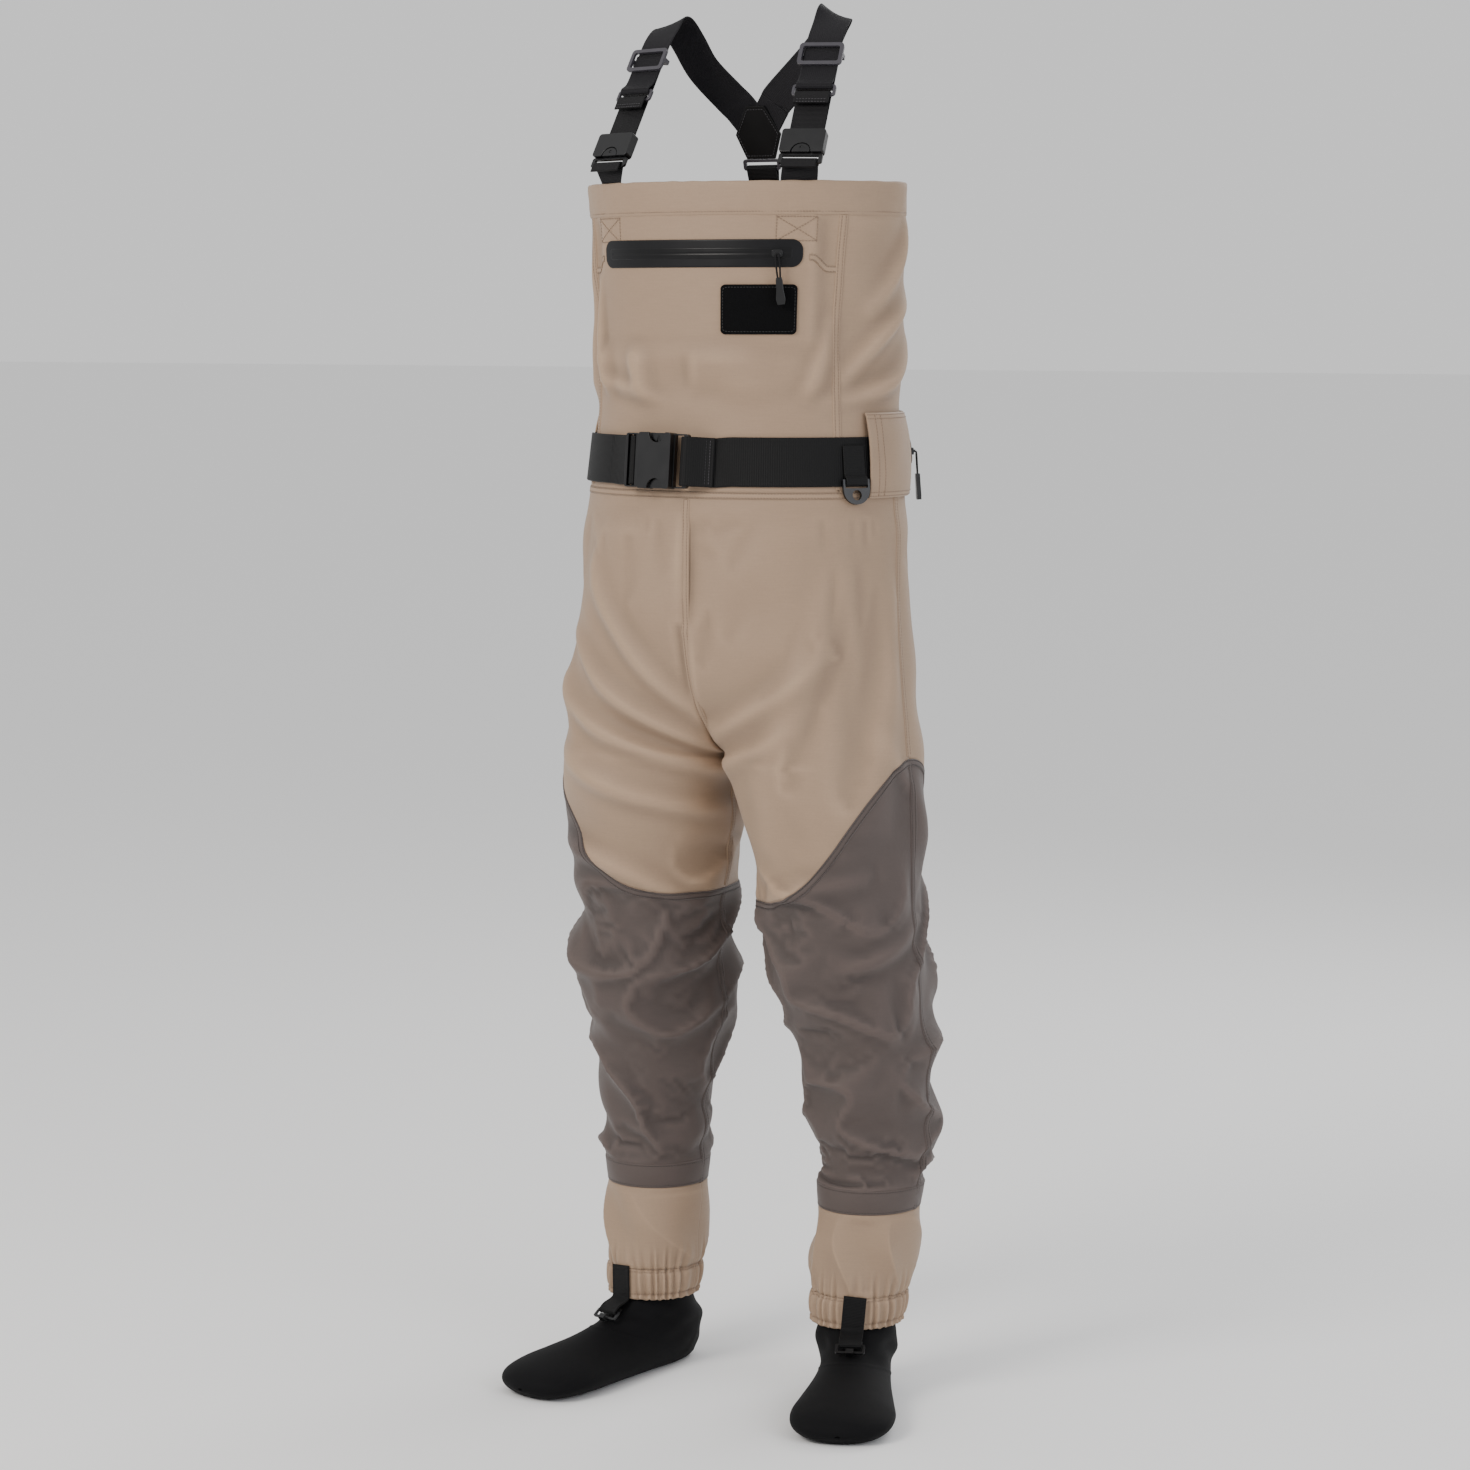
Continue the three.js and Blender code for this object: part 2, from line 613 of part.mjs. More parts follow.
// The tail comes from under the plug's outer bar and is threaded over its middle bar.
add(
  "belt_tail",
  ribbon(
    [
      ...spread(TAIL_END, beltAngle(-72), 12).map((t) => laid(t, BELT_OUT + GAP + BELT.thick / 2)),
      ...[[-58, -8.4], [-47, -3.2], [-40, -0.2], [-35.4, 1], [-33.6, 3.2]].map(atBuckle),
      ...arc(-30.4, 5.6, 3.2, 180, 0, 5).map(atBuckle),
      atBuckle([-27.2, 2.6]),
    ],
    BELT_WIDE,
    BELT.thick,
  ),
  WEBBING,
);

// Side-release buckle: x along the belt to the wearer's left, y up, z out of the body.
const SOCKET = { half: 20.5, tall: 57, thick: 13, wall: 2.6, cavityTall: 46 };
const THUMB = { x: 3, radius: 10.5, pad: 9 };
const PRONG = { root: -21, high: 19, tall: 5.5, thick: 5.4 };
const inside = SOCKET.cavityTall / 2;

function socket() {
  const shell = plate(roundedRect(2 * SOCKET.half, SOCKET.tall, 3), 0, SOCKET.thick);
  const cavity = box(
    -SOCKET.half - 1, SOCKET.half - 3.4, -inside, inside, SOCKET.wall, SOCKET.thick - SOCKET.wall,
  );
  const edgeSlot = box(
    -SOCKET.half - 1, THUMB.x + THUMB.radius, -SOCKET.tall, SOCKET.tall,
    SOCKET.wall, SOCKET.thick - SOCKET.wall,
  );
  const thumbs = [-1, 1].map((s) =>
    new THREE.CylinderGeometry(THUMB.radius, THUMB.radius, 3 * SOCKET.thick, 20)
      .rotateX(90 * DEG)
      .translate(THUMB.x, (s * SOCKET.tall) / 2, SOCKET.thick / 2),
  );
  const bar = plate(roundedRect(20, SOCKET.tall - 2, 3), 1, 6).translate(SOCKET.half + 7.5, 0, 0);
  const slot = box(SOCKET.half + 1, SOCKET.half + 12, -26, 26, -2, 9);
  const overShell = box(0, SOCKET.half - 3, -40, 40, 0, 9);
  return join(cut(shell, cavity, edgeSlot, ...thumbs), cut(bar, slot, overShell));
}
function plug() {
  const root = -SOCKET.half - 0.6;
  const base = plate(roundedRect(root - PLUG_END, SOCKET.tall - 2, 3), 1, 10)
    .translate((root + PLUG_END) / 2, 0, 0);
  const window = box(-35.4, -25.4, -26, 26, -2, 12);
  const under = box(PLUG_END - 1, -25.4, -26, 26, 0, 3);
  const middleBar = box(-31.8, -29, -27, 27, 3, 6.6);
  const guide = box(root - 1, 13, -4.5, 4.5, 4.6, 8.6);
  return join(cut(base, window, under), middleBar, guide);
}
// Upper prong: an arm that enters the socket, with the thumb pad that shows in the socket's edge.
function prong() {
  const arm = box(
    PRONG.root + GAP, THUMB.x + 4, PRONG.high - PRONG.tall, PRONG.high, 3.8, 3.8 + PRONG.thick,
  );
  const pad = new THREE.CylinderGeometry(THUMB.pad, THUMB.pad, PRONG.thick, 20)
    .rotateX(90 * DEG)
    .translate(THUMB.x, SOCKET.tall / 2 - 1, 3.8 + PRONG.thick / 2);
  return join(arm, cut(pad, box(-30, 30, SOCKET.tall / 2 - 0.5, 60, -5, 20)));
}
add("belt_buckle_socket", socket().applyMatrix4(buckle), MOULDED);
add("belt_buckle_plug", plug().applyMatrix4(buckle), MOULDED);
add("belt_prong_upper", prong().applyMatrix4(buckle), MOULDED);
add(
  "belt_prong_lower",
  prong().rotateX(180 * DEG).translate(0, 0, 7.6 + PRONG.thick).applyMatrix4(buckle),
  MOULDED,
);

// Cloth tunnel round the back that carries the belt; it stands clear of the webbing in the middle.
const TUNNEL = { low: 948, high: 1034, from: -20 * DEG, to: 188 * DEG, bulge: 6 };
const TUNNEL_IN = 1.2;
const tunnelLift = (z) => {
  const s = Math.min(Math.max((z - TUNNEL.low) / (TUNNEL.high - TUNNEL.low), 0), 1);
  return TUNNEL.bulge * Math.sqrt(Math.sin(Math.PI * s));
};
add(
  "belt_tunnel",
  sheet((u, v, side) => {
    const z = TUNNEL.low + v * (TUNNEL.high - TUNNEL.low);
    const out = TUNNEL_IN + tunnelLift(z) + (side ? 0 : CLOTH);
    return torso(TUNNEL.from + u * (TUNNEL.to - TUNNEL.from), z, out);
  }, 30, 8),
  TAN,
);

// D-ring on a short webbing tab that hangs from the belt.
const D_ANGLE = -27 * DEG;
const D_BAR_Z = 966;
const D_OUT = BELT_OUT + 2.6;
const dFrame = onTorso(D_ANGLE, D_BAR_Z, D_OUT);
const upFrom = (frame, y, z) => V(0, y, z).applyMatrix4(frame);
const dAcross = new THREE.Vector3().setFromMatrixColumn(dFrame, 0);
add(
  "d_ring_tab",
  ribbon(
    [[36, -1.1], [30, -0.9], [12, -0.7], [5, 0.1], [3.4, 2.4], [0, 3.5], [-3.4, 2.4], [-4.2, 0], [-3.5, -1]]
      .map(([y, z]) => ({ at: upFrom(dFrame, y, z), wide: dAcross })),
    24,
    1.6,
  ),
  WEBBING,
);
const D_BAR = 1.7; // half thickness of the ring
function dRing() {
  const outer = new THREE.Shape();
  outer.moveTo(-15, D_BAR).lineTo(15, D_BAR).lineTo(15, -9);
  outer.absarc(0, -9, 15, 0, -Math.PI, true).lineTo(-15, D_BAR);
  const hole = (points) => plate(outline(points), -5, 5);
  const eye = new THREE.CylinderGeometry(5.2, 5.2, 10, 16).rotateX(90 * DEG).translate(0, -14.5, 0);
  const gap = hole([[-12.8, -D_BAR], [-12.8, -7], [-5, -7.6], [5, -7.6], [12.8, -7], [12.8, -D_BAR]]);
  return cut(plate(outer, -D_BAR, D_BAR), eye, gap);
}
add("d_ring", dRing().applyMatrix4(dFrame), MOULDED);

// ---------------------------------------------------------------- rear pocket zip on the tunnel
const REAR_ZIP = { z: 992, middle: 54 * DEG, half: 31 * DEG, tall: 13, radius: 160, corner: 11 };
const REAR_LOW = TUNNEL_IN + CLOTH + GAP;
add(
  "rear_zip_surround",
  patch(REAR_ZIP, REAR_LOW, REAR_LOW + 1.1, 16, tunnelLift),
  COATED_FILM,
);
const REAR_SLIDER_ANGLE = 29 * DEG;
const REAR_RIDE = 0.75; // the slider's clearance, because its zip is not quite a circular arc
const rearSlider = onTorso(REAR_SLIDER_ANGLE, REAR_ZIP.z, REAR_LOW + 1.1 + TUNNEL.bulge + REAR_RIDE);
add("rear_zip_slider", sliderBody().applyMatrix4(rearSlider), MOULDED);
add(
  "rear_zip_pull",
  join(pullCord(), pullTab().translate(0, GAP + 0.5, 0)).applyMatrix4(rearSlider),
  MOULDED,
);

// ---------------------------------------------------------------- suspenders
// Left strap's straight run: from the buckle's middle up to the shoulder.
const STRAP_WIDE = 38;
const STRAP_THICK = 1.5;
const BUCKLE_AT = V(110, BODY_Y - 86, RIM_Z + 36);
const STRAP_TOP = V(101, BODY_Y - 29, RIM_Z + 133);
const run = STRAP_TOP.clone().sub(BUCKLE_AT).normalize();
const strapAcross = V(Math.cos(11 * DEG), Math.sin(11 * DEG), 0);
const strapFrame = frameAt(BUCKLE_AT, strapAcross.clone().addScaledVector(run, -strapAcross.dot(run)), run);
const onStrap = (y, z) => V(0, y, z).applyMatrix4(strapFrame);
const strapWide = new THREE.Vector3().setFromMatrixColumn(strapFrame, 0);
const band = (line) => line.map(([y, z]) => ({ at: onStrap(y, z), wide: strapWide }));
const LAYER = STRAP_THICK + GAP; // from one layer of strap to the next

// Half turn of a strap's loop over a bar at height y; sign 1 turns over its top, -1 under it.
function turn(y, radius, sign, steps = 6) {
  return Array.from({ length: steps + 1 }, (_, k) => {
    const a = (k / steps) * Math.PI;
    return [y + sign * radius * Math.sin(a), radius * Math.cos(a)];
  });
}

const BAR = 1.5; // half thickness of a ring's bars
const TURN_RADIUS = BAR * Math.SQRT2 + GAP + STRAP_THICK / 2;
const RING = { low: 60, high: 70.5, wide: STRAP_WIDE + 8 };
function strapRing() {
  const tall = RING.high - RING.low + 2 * BAR;
  return plate(roundedRect(RING.wide, tall, 3.4), -BAR, BAR).translate(0, (RING.low + RING.high) / 2, 0);
}
const ringHole = box(-STRAP_WIDE / 2 - 1, STRAP_WIDE / 2 + 1, RING.low + BAR, RING.high - BAR, -9, 9);
pair("strap_ring", cut(strapRing(), ringHole).applyMatrix4(strapFrame), GREY_ACETAL);

// Three-bar slider: top and bottom bars in front of the strap, the middle bar behind it.
const SLIDER = { y: 108, tall: 26, wide: STRAP_WIDE + 9, bar: 4 };
const STRAP_BACK = -TURN_RADIUS; // the layer that runs on over the shoulder
function strapSlider() {
  const front = cut(
    plate(roundedRect(SLIDER.wide, SLIDER.tall, 4), 0, 3),
    plate(roundedRect(SLIDER.wide - 2 * SLIDER.bar, SLIDER.tall - 2 * SLIDER.bar, 2), -1, 6),
  );
  const inner = STRAP_WIDE / 2 + 2 * GAP;
  const outer = SLIDER.wide / 2 - 0.1;
  const side = (s) => box(s > 0 ? inner : -outer, s > 0 ? outer : -inner, -2.4, 2.4, -6.8, 1);
  const middle = box(-inner - 1.4, inner + 1.4, -2, 2, -6.8, -4.4);
  return join(front, side(1), side(-1), middle).translate(0, SLIDER.y, 0);
}
pair("strap_slider", strapSlider().applyMatrix4(strapFrame), GREY_ACETAL);

// Connector: webbing from the ring's lower bar down into the buckle housing.
pair(
  "connector_strap",
  ribbon(
    band([
      [RING.low - 12, TURN_RADIUS],
      ...turn(RING.low, TURN_RADIUS, 1),
      [RING.low - 12, -TURN_RADIUS],
      [13.6, -TURN_RADIUS],
    ]),
    STRAP_WIDE - 1,
    STRAP_THICK,
  ),
  WEBBING,
);

// Buckle housing: a shell open below, with a half-moon window over the release button.
const HOUSING = { wide: STRAP_WIDE + 8, low: -10, high: 17, back: -5, front: 5 };
function housing() {
  const middle = (HOUSING.low + HOUSING.high) / 2;
  const tall = HOUSING.high - HOUSING.low;
  const shell = plate(roundedRect(HOUSING.wide, tall, 3), HOUSING.back, HOUSING.front)
    .translate(0, middle, 0);
  const room = STRAP_WIDE / 2 - 1;
  const cavity = box(-room, room, HOUSING.low - 1, 10, -2.6, 2.6);
  const moon = new THREE.CylinderGeometry(10.5, 10.5, 8, 24).rotateX(90 * DEG).translate(0, HOUSING.low, 5);
  const slot = box(-STRAP_WIDE / 2, STRAP_WIDE / 2, 13, 18, -TURN_RADIUS - 1.1, -TURN_RADIUS + 1.1);
  return cut(shell, cavity, moon, slot);
}
pair("buckle_housing", housing().applyMatrix4(strapFrame), MOULDED);

// Tongue: a flat blade in the housing, carrying a bar below it for the bib tab.
const TONGUE_BAR_Y = -19.5;
function tongue() {
  const half = STRAP_WIDE / 2 - 2.5;
  const blade = box(-half, half, HOUSING.low - 2.4, 7, -1.5, 0.6);
  const low = TONGUE_BAR_Y - BAR;
  const high = HOUSING.low - GAP;
  const frame = plate(roundedRect(HOUSING.wide, high - low, 2), -BAR, BAR).translate(0, (low + high) / 2, 0);
  const hole = box(-STRAP_WIDE / 2, STRAP_WIDE / 2, TONGUE_BAR_Y + BAR, high - 2.6, -9, 9);
  return join(cut(frame, hole), blade);
}
pair("buckle_tongue", tongue().applyMatrix4(strapFrame), MOULDED);

// Release button: a half-round pad with a small hole, seated on the blade in the half-moon window.
function releaseButton() {
  const pad = new THREE.CylinderGeometry(9.6, 9.6, 3.2, 24).rotateX(90 * DEG)
    .translate(0, HOUSING.low + 0.2, 2.9);
  const eye = new THREE.CylinderGeometry(1.6, 1.6, 3, 12).rotateX(90 * DEG)
    .translate(0, HOUSING.low + 5.2, 5);
  return cut(pad, box(-20, 20, -40, HOUSING.low + 0.2, -9, 9), eye);
}
pair("release_button", releaseButton().applyMatrix4(strapFrame), MOULDED);

// Bib tab: webbing looped over the tongue's bar, its tail sewn inside the top of the bib.
const TAB_ANGLE = -Math.acos(112 / column(TORSO, 1, RIM_Z));
const RIM_RADIUS = 95; // tightest curve of the rim beside a tab, which lies flat across it
const TAB_SAG = (STRAP_WIDE - 1) ** 2 / 8 / RIM_RADIUS;
const tabInside = (z) => ({
  at: torso(TAB_ANGLE, z, -CLOTH - GAP - TAB_SAG - STRAP_THICK / 2),
  wide: torso(TAB_ANGLE + 0.01, z).sub(torso(TAB_ANGLE - 0.01, z)),
});
pair(
  "bib_tab",
  ribbon(
    [
      ...band([[TONGUE_BAR_Y - 8, TURN_RADIUS], ...turn(TONGUE_BAR_Y, TURN_RADIUS, 1)]),
      ...[RIM_Z, RIM_Z - 12, RIM_Z - 27].map(tabInside),
    ],
    STRAP_WIDE - 1,
    STRAP_THICK,
  ),
  WEBBING,
);

const YOKE = V(-24, BODY_Y + 66, RIM_Z + 57);
// Yoke where the straps meet, its lower end looped on the back ring above the back tab.
const backUp = V(0, -0.26, 0.966);
const yokeFrame = frameAt(YOKE, V(1, 0, 0), backUp);
const yokeShape = outline(
  [[-11, 29], [-27, -1], [-17, -27], [17, -27], [27, -1], [11, 29]],
);
// Shoulder strap: looped on the ring, up through the slider, over the shoulder and down to the yoke.
// The two straps lie a little differently behind the shoulders, as they hang.
const OVER_SHOULDER = {
  left: [
    [V(97.5, -3, RIM_Z + 162), V(0.95, 0.05, -0.2)],
    [V(94, 12, RIM_Z + 172), V(0.88, 0, -0.4)],
    [V(87, 26, RIM_Z + 171), V(0.8, 0, -0.55)],
    [V(77, 36, RIM_Z + 161), V(0.77, 0.02, -0.62)],
    [V(58, 46, RIM_Z + 138), V(0.76, 0.04, -0.65)],
  ],
  right: [
    [V(-97.5, -4, RIM_Z + 161), V(-0.95, 0.05, -0.15)],
    [V(-96, 7, RIM_Z + 168), V(-0.9, 0, -0.3)],
    [V(-93, 18, RIM_Z + 165), V(-0.86, 0, -0.45)],
    [V(-87, 29, RIM_Z + 149), V(-0.84, 0.02, -0.52)],
    [V(-77, 42, RIM_Z + 123), V(-0.82, 0.04, -0.55)],
  ],
};
function shoulderStrap(side) {
  const flip = V(side, 1, 1);
  const lower = band([
    [SLIDER.y + 7, STRAP_BACK + LAYER],
    [RING.high + 13, STRAP_BACK + LAYER],
    [RING.high + 2, TURN_RADIUS],
    ...turn(RING.high, TURN_RADIUS, -1),
    [SLIDER.y, STRAP_BACK],
    [SLIDER.y + 23, STRAP_BACK],
  ]).map(({ at, wide }) => ({ at: at.multiply(flip), wide: wide.clone().multiply(flip) }));
  const over = OVER_SHOULDER[side > 0 ? "left" : "right"].map(([at, wide]) => ({
    at: at.clone().add(V(0, BODY_Y, 0)),
    wide,
  }));
  const ends = [[30, 38], [22, 29], [15.5, 20]].map(([x, y]) => ({
    at: V(side * x, y, -GAP - STRAP_THICK / 2).applyMatrix4(yokeFrame),
    wide: V(side * 0.78, 0.04, -0.62),
  }));
  return ribbon([...lower, ...over, ...ends], STRAP_WIDE, STRAP_THICK);
}
add("shoulder_strap_left", shoulderStrap(1), ELASTIC);
add("shoulder_strap_right", shoulderStrap(-1), ELASTIC);

add("yoke_patch", plate(yokeShape, 0, 2.6).applyMatrix4(yokeFrame), HOOK_PILE);
const BACK_RING_Y = -33.3;
const BACK_FOLD = 1.6 * Math.SQRT2 + GAP + STRAP_THICK / 2;
const backRing = cut(
  plate(roundedRect(44, 12, 3), -1.6, 1.6),
  box(-18.5, 18.5, -2.8, 2.8, -9, 9),
).translate(0, BACK_RING_Y, 1.6);
add("back_ring", backRing.applyMatrix4(yokeFrame), GREY_ACETAL);
const onYoke = (y, z) => ({ at: V(0, y, z).applyMatrix4(yokeFrame), wide: V(1, 0, 0) });
const BACK_ANGLE = Math.acos(YOKE.x / column(TORSO, 1, RIM_Z));
const inBack = (z) => ({
  at: torso(BACK_ANGLE, z, -CLOTH - 7 * GAP - STRAP_THICK / 2),
  wide: torso(BACK_ANGLE - 0.01, z).sub(torso(BACK_ANGLE + 0.01, z)),
});
add(
  "back_tab",
  ribbon(
    [
      onYoke(BACK_RING_Y - 16, 3.6),
      ...turn(BACK_RING_Y - 4.4, BACK_FOLD, 1).map(([y, z]) => onYoke(y, z + 1.6)),
      inBack(RIM_Z - 4),
      inBack(RIM_Z - 28),
    ],
    35,
    STRAP_THICK,
  ),
  WEBBING,
);

export default waders;
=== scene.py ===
"""Stocking-foot chest waders, standing as they hang on a wearer. Metres; +Z up, the wearer faces -Y and
the wearer's left is +X. The sections follow the order in which the garment is cut, sewn and fitted."""

from math import acos, cos, pi, radians, sin

import bmesh
import bpy
import numpy as np
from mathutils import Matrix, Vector


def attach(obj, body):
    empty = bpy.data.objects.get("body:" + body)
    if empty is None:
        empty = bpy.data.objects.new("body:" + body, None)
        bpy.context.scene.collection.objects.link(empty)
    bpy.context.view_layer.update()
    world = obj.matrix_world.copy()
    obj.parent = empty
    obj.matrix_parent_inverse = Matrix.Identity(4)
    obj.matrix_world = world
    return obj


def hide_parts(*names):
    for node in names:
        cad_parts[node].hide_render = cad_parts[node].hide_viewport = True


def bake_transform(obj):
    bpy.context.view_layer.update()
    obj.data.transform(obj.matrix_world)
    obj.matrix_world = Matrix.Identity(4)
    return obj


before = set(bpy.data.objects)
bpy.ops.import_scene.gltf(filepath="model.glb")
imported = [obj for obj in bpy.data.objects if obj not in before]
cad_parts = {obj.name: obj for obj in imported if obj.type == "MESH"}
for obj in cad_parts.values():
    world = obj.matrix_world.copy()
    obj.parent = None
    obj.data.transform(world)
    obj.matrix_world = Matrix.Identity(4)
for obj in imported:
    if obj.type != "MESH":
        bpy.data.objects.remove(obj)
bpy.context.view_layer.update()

# ---------------------------------------------------------------- camera, light and floor
# A long lens at chest height looks at the wearer's front left. Two large soft boxes and a pale
# surround light a plain pale studio floor.
CAMERA_TURN = radians(29)
CAMERA_AWAY = 4.0
CAMERA_HEIGHT = 1.14
CAMERA_DOWN = radians(6.37)
BODY_Y = 0.014

camera_data = bpy.data.cameras.new("camera")
camera_data.sensor_width = 36
camera_data.lens = 36 * 3830 / 1470
camera = bpy.data.objects.new("camera", camera_data)
camera.location = (CAMERA_AWAY * sin(CAMERA_TURN), BODY_Y - CAMERA_AWAY * cos(CAMERA_TURN), CAMERA_HEIGHT)
camera.rotation_euler = (radians(90) - CAMERA_DOWN, 0, CAMERA_TURN + radians(0.2))
bpy.context.scene.collection.objects.link(camera)
bpy.context.scene.camera = camera


def linear(hex_colour):
    """An sRGB hex colour as linear red, green, blue and alpha 1, by the sRGB curve."""
    v = np.array([int(hex_colour[i:i + 2], 16) / 255 for i in (1, 3, 5)])
    v = np.where(v <= 0.04045, v / 12.92, ((v + 0.055) / 1.055) ** 2.4)
    return (*v.tolist(), 1.0)


def add(tree, kind, settings=None, inputs=None):
    """Adds one node: settings are its properties; inputs give a socket's value, or the output it is fed by."""
    node = tree.nodes.new(kind)
    for key, value in (settings or {}).items():
        setattr(node, key, value)
    for key, value in (inputs or {}).items():
        if isinstance(value, bpy.types.NodeSocket):
            tree.links.new(value, node.inputs[key])
        else:
            node.inputs[key].default_value = value
    return node


def soft_box(name, place, aim, size, power, tint):
    """A square area light of that size in metres at place, turned towards aim."""
    light = bpy.data.lights.new(name, "AREA")
    light.size = size
    light.energy = power
    light.color = linear(tint)[:3]
    holder = bpy.data.objects.new(name, light)
    holder.location = place
    holder.rotation_euler = (Vector(aim) - Vector(place)).to_track_quat("-Z", "Y").to_euler()
    bpy.context.scene.collection.objects.link(holder)


soft_box("key_box", (-0.9, -2.7, 2.5), (0, 0, 0.85), 1.3, 64, "#fff9f2")
soft_box("fill_box", (3.0, -1.0, 1.6), (0, 0, 0.7), 1.6, 26, "#f4f7ff")
soft_box("back_box", (0.4, 2.6, 2.4), (0, 0, 0.9), 1.6, 30, "#ffffff")

surround = bpy.data.worlds.new("studio")
surround.use_nodes = True
surround.node_tree.nodes["Background"].inputs["Color"].default_value = linear("#f4f4f4")
surround.node_tree.nodes["Background"].inputs["Strength"].default_value = 0.95
bpy.context.scene.world = surround

floor_mesh = bpy.data.meshes.new("studio_floor")
floor_mesh.from_pydata([(-60, -60, 0), (60, -60, 0), (60, 60, 0), (-60, 60, 0)], [], [(0, 1, 2, 3)])
studio_floor = bpy.data.objects.new("studio_floor", floor_mesh)
bpy.context.scene.collection.objects.link(studio_floor)
paper = bpy.data.materials.new("floor_paper")
paper.use_nodes = True
paper.node_tree.nodes["Principled BSDF"].inputs["Base Color"].default_value = linear("#f2f2f2")
paper.node_tree.nodes["Principled BSDF"].inputs["Roughness"].default_value = 0.9
floor_mesh.materials.append(paper)

# ---------------------------------------------------------------- the cut of the garment
# Three-layer laminate is cut to these girths: a torso of oval rings, and two legs of oval rings that
# open into the seat above the crotch. Everything sewn to the garment is laid on this skin.
RIM_Z = 1.265
WAIST_SEAM_Z = 0.953
RISE_TOP_Z = 0.850
CROTCH_Z = 0.680
CUFF_Z = 0.200
KNEE_INSEAM, KNEE_RISE, KNEE_POWER = 0.530, 0.150, 6
CLOTH = 0.002
PRINCESS_U = 0.5 - 33 / 180  # the front seams, as a share of the way from centre front to centre back

# Torso rings: height, half width, half depth in front, half depth behind, forward sway of the hips.
TORSO = np.array([
    [0.680, 0.191, 0.118, 0.135, 0.014],
    [0.800, 0.186, 0.127, 0.134, 0.014],
    [0.900, 0.179, 0.126, 0.129, 0.009],
    [0.985, 0.170, 0.124, 0.121, 0.002],
    [1.050, 0.165, 0.122, 0.116, 0.0],
    [1.120, 0.168, 0.124, 0.110, 0.0],
    [1.200, 0.173, 0.125, 0.098, 0.0],
    [1.265, 0.178, 0.124, 0.082, 0.0],
])
# Leg rings: height, distance from the middle plane, set-back, half width, half depth.
LEG = np.array([
    [0.080, 0.124, 0.013, 0.048, 0.050],
    [0.112, 0.125, 0.018, 0.050, 0.053],
    [0.160, 0.127, 0.025, 0.054, 0.057],
    [0.200, 0.129, 0.031, 0.053, 0.056],
    [0.280, 0.131, 0.034, 0.064, 0.067],
    [0.365, 0.126, 0.028, 0.074, 0.077],
    [0.470, 0.116, 0.010, 0.084, 0.089],
    [0.560, 0.109, 0.002, 0.088, 0.094],
    [0.680, 0.097, -0.010, 0.096, 0.112],
    [0.850, 0.092, -0.010, 0.092, 0.130],
])


def girth(table, column, z):
    """One column of a table of rings at height z: a cubic between rings whose slope at a ring is that of
    the line through its two neighbours, held still beyond the first and the last ring."""
    zs, v = table[:, 0], table[:, column]
    last = len(zs) - 1
    z = np.clip(z, zs[0], zs[-1])
    k = np.clip(np.searchsorted(zs, z, side="right") - 1, 0, last - 1)
    below, above = np.maximum(np.arange(last + 1) - 1, 0), np.minimum(np.arange(last + 1) + 1, last)
    slope = (v[above] - v[below]) / (zs[above] - zs[below])
    span = zs[k + 1] - zs[k]
    s = (z - zs[k]) / span
    h = s * s * (3 - 2 * s)
    return v[k] * (1 - h) + v[k + 1] * h + span * s * (1 - s) * ((1 - s) * slope[k] - s * slope[k + 1])


def torso(t, z, out=0.0):
    """Oval ring of the torso: (half width cos t, half depth sin t), the depth being the front's or the
    back's; t is 0 at the wearer's left and -90 degrees at the front, and out stands off the cloth."""
    depth = np.where(np.sin(t) < 0, girth(TORSO, 2, z), girth(TORSO, 3, z)) + out
    x = (girth(TORSO, 1, z) + out) * np.cos(t)
    return np.stack(np.broadcast_arrays(x, BODY_Y - girth(TORSO, 4, z) + depth * np.sin(t), z), -1)


def leg(u, z, out=0.0):
    """Oval ring of the left leg; u runs 0 to 1 from the inseam over the front, the outseam and the back."""
    a = 2 * pi * u
    x = girth(LEG, 1, z) - (girth(LEG, 3, z) + out) * np.cos(a)
    y = BODY_Y + girth(LEG, 2, z) - (girth(LEG, 4, z) + out) * np.sin(a)
    return np.stack(np.broadcast_arrays(x, y, z), -1)


def ramp(v, low, high):
    """0 below low, 1 above high, and a smooth step between."""
    s = np.clip((v - low) / (high - low), 0, 1)
    return s * s * (3 - 2 * s)


def trouser(u, z, out=0.0):
    """Left half of the garment: the leg's ring, which opens into half of the torso's ring. By the inseam
    it opens at the crotch by the root of a circle's rise, so the seat is round; further round the leg it
    opens by a long smooth step, so the thigh runs on without a crease."""
    s = np.clip((z - CROTCH_Z) / (RISE_TOP_Z - CROTCH_Z), 0, 1)
    by_inseam = np.cos(pi * u) ** 4
    long_step = ramp(z, CROTCH_Z - 0.08, RISE_TOP_Z + 0.02)
    opened = (by_inseam * np.sqrt(1 - (1 - s) ** 2) + (1 - by_inseam) * long_step)[..., None]
    p = leg(u, z, out) * (1 - opened) + torso((u - 0.5) * pi, z, out) * opened
    p[..., 0] = np.maximum(p[..., 0], 0)
    return p


def knee_seam(u):
    """Height of the curved seam between the tan and the umber cloth: high in front, low at the inseam."""
    return KNEE_INSEAM + KNEE_RISE * np.sin(pi * u) ** KNEE_POWER


# ---------------------------------------------------------------- how the cloth hangs
# The laminate is stiff and hangs with slack, so it buckles: rings of soft folds below the knee, long
# folds from the crotch, soft upright folds in the bib. The folds start as listed ridges and are then
# settled by a cloth simulation of the whole garment against the wearer's shape.
ROWS, COLUMNS = 190, 84
SKIN_FINER = 3
BELT_ZONE = (0.940, 1.036)

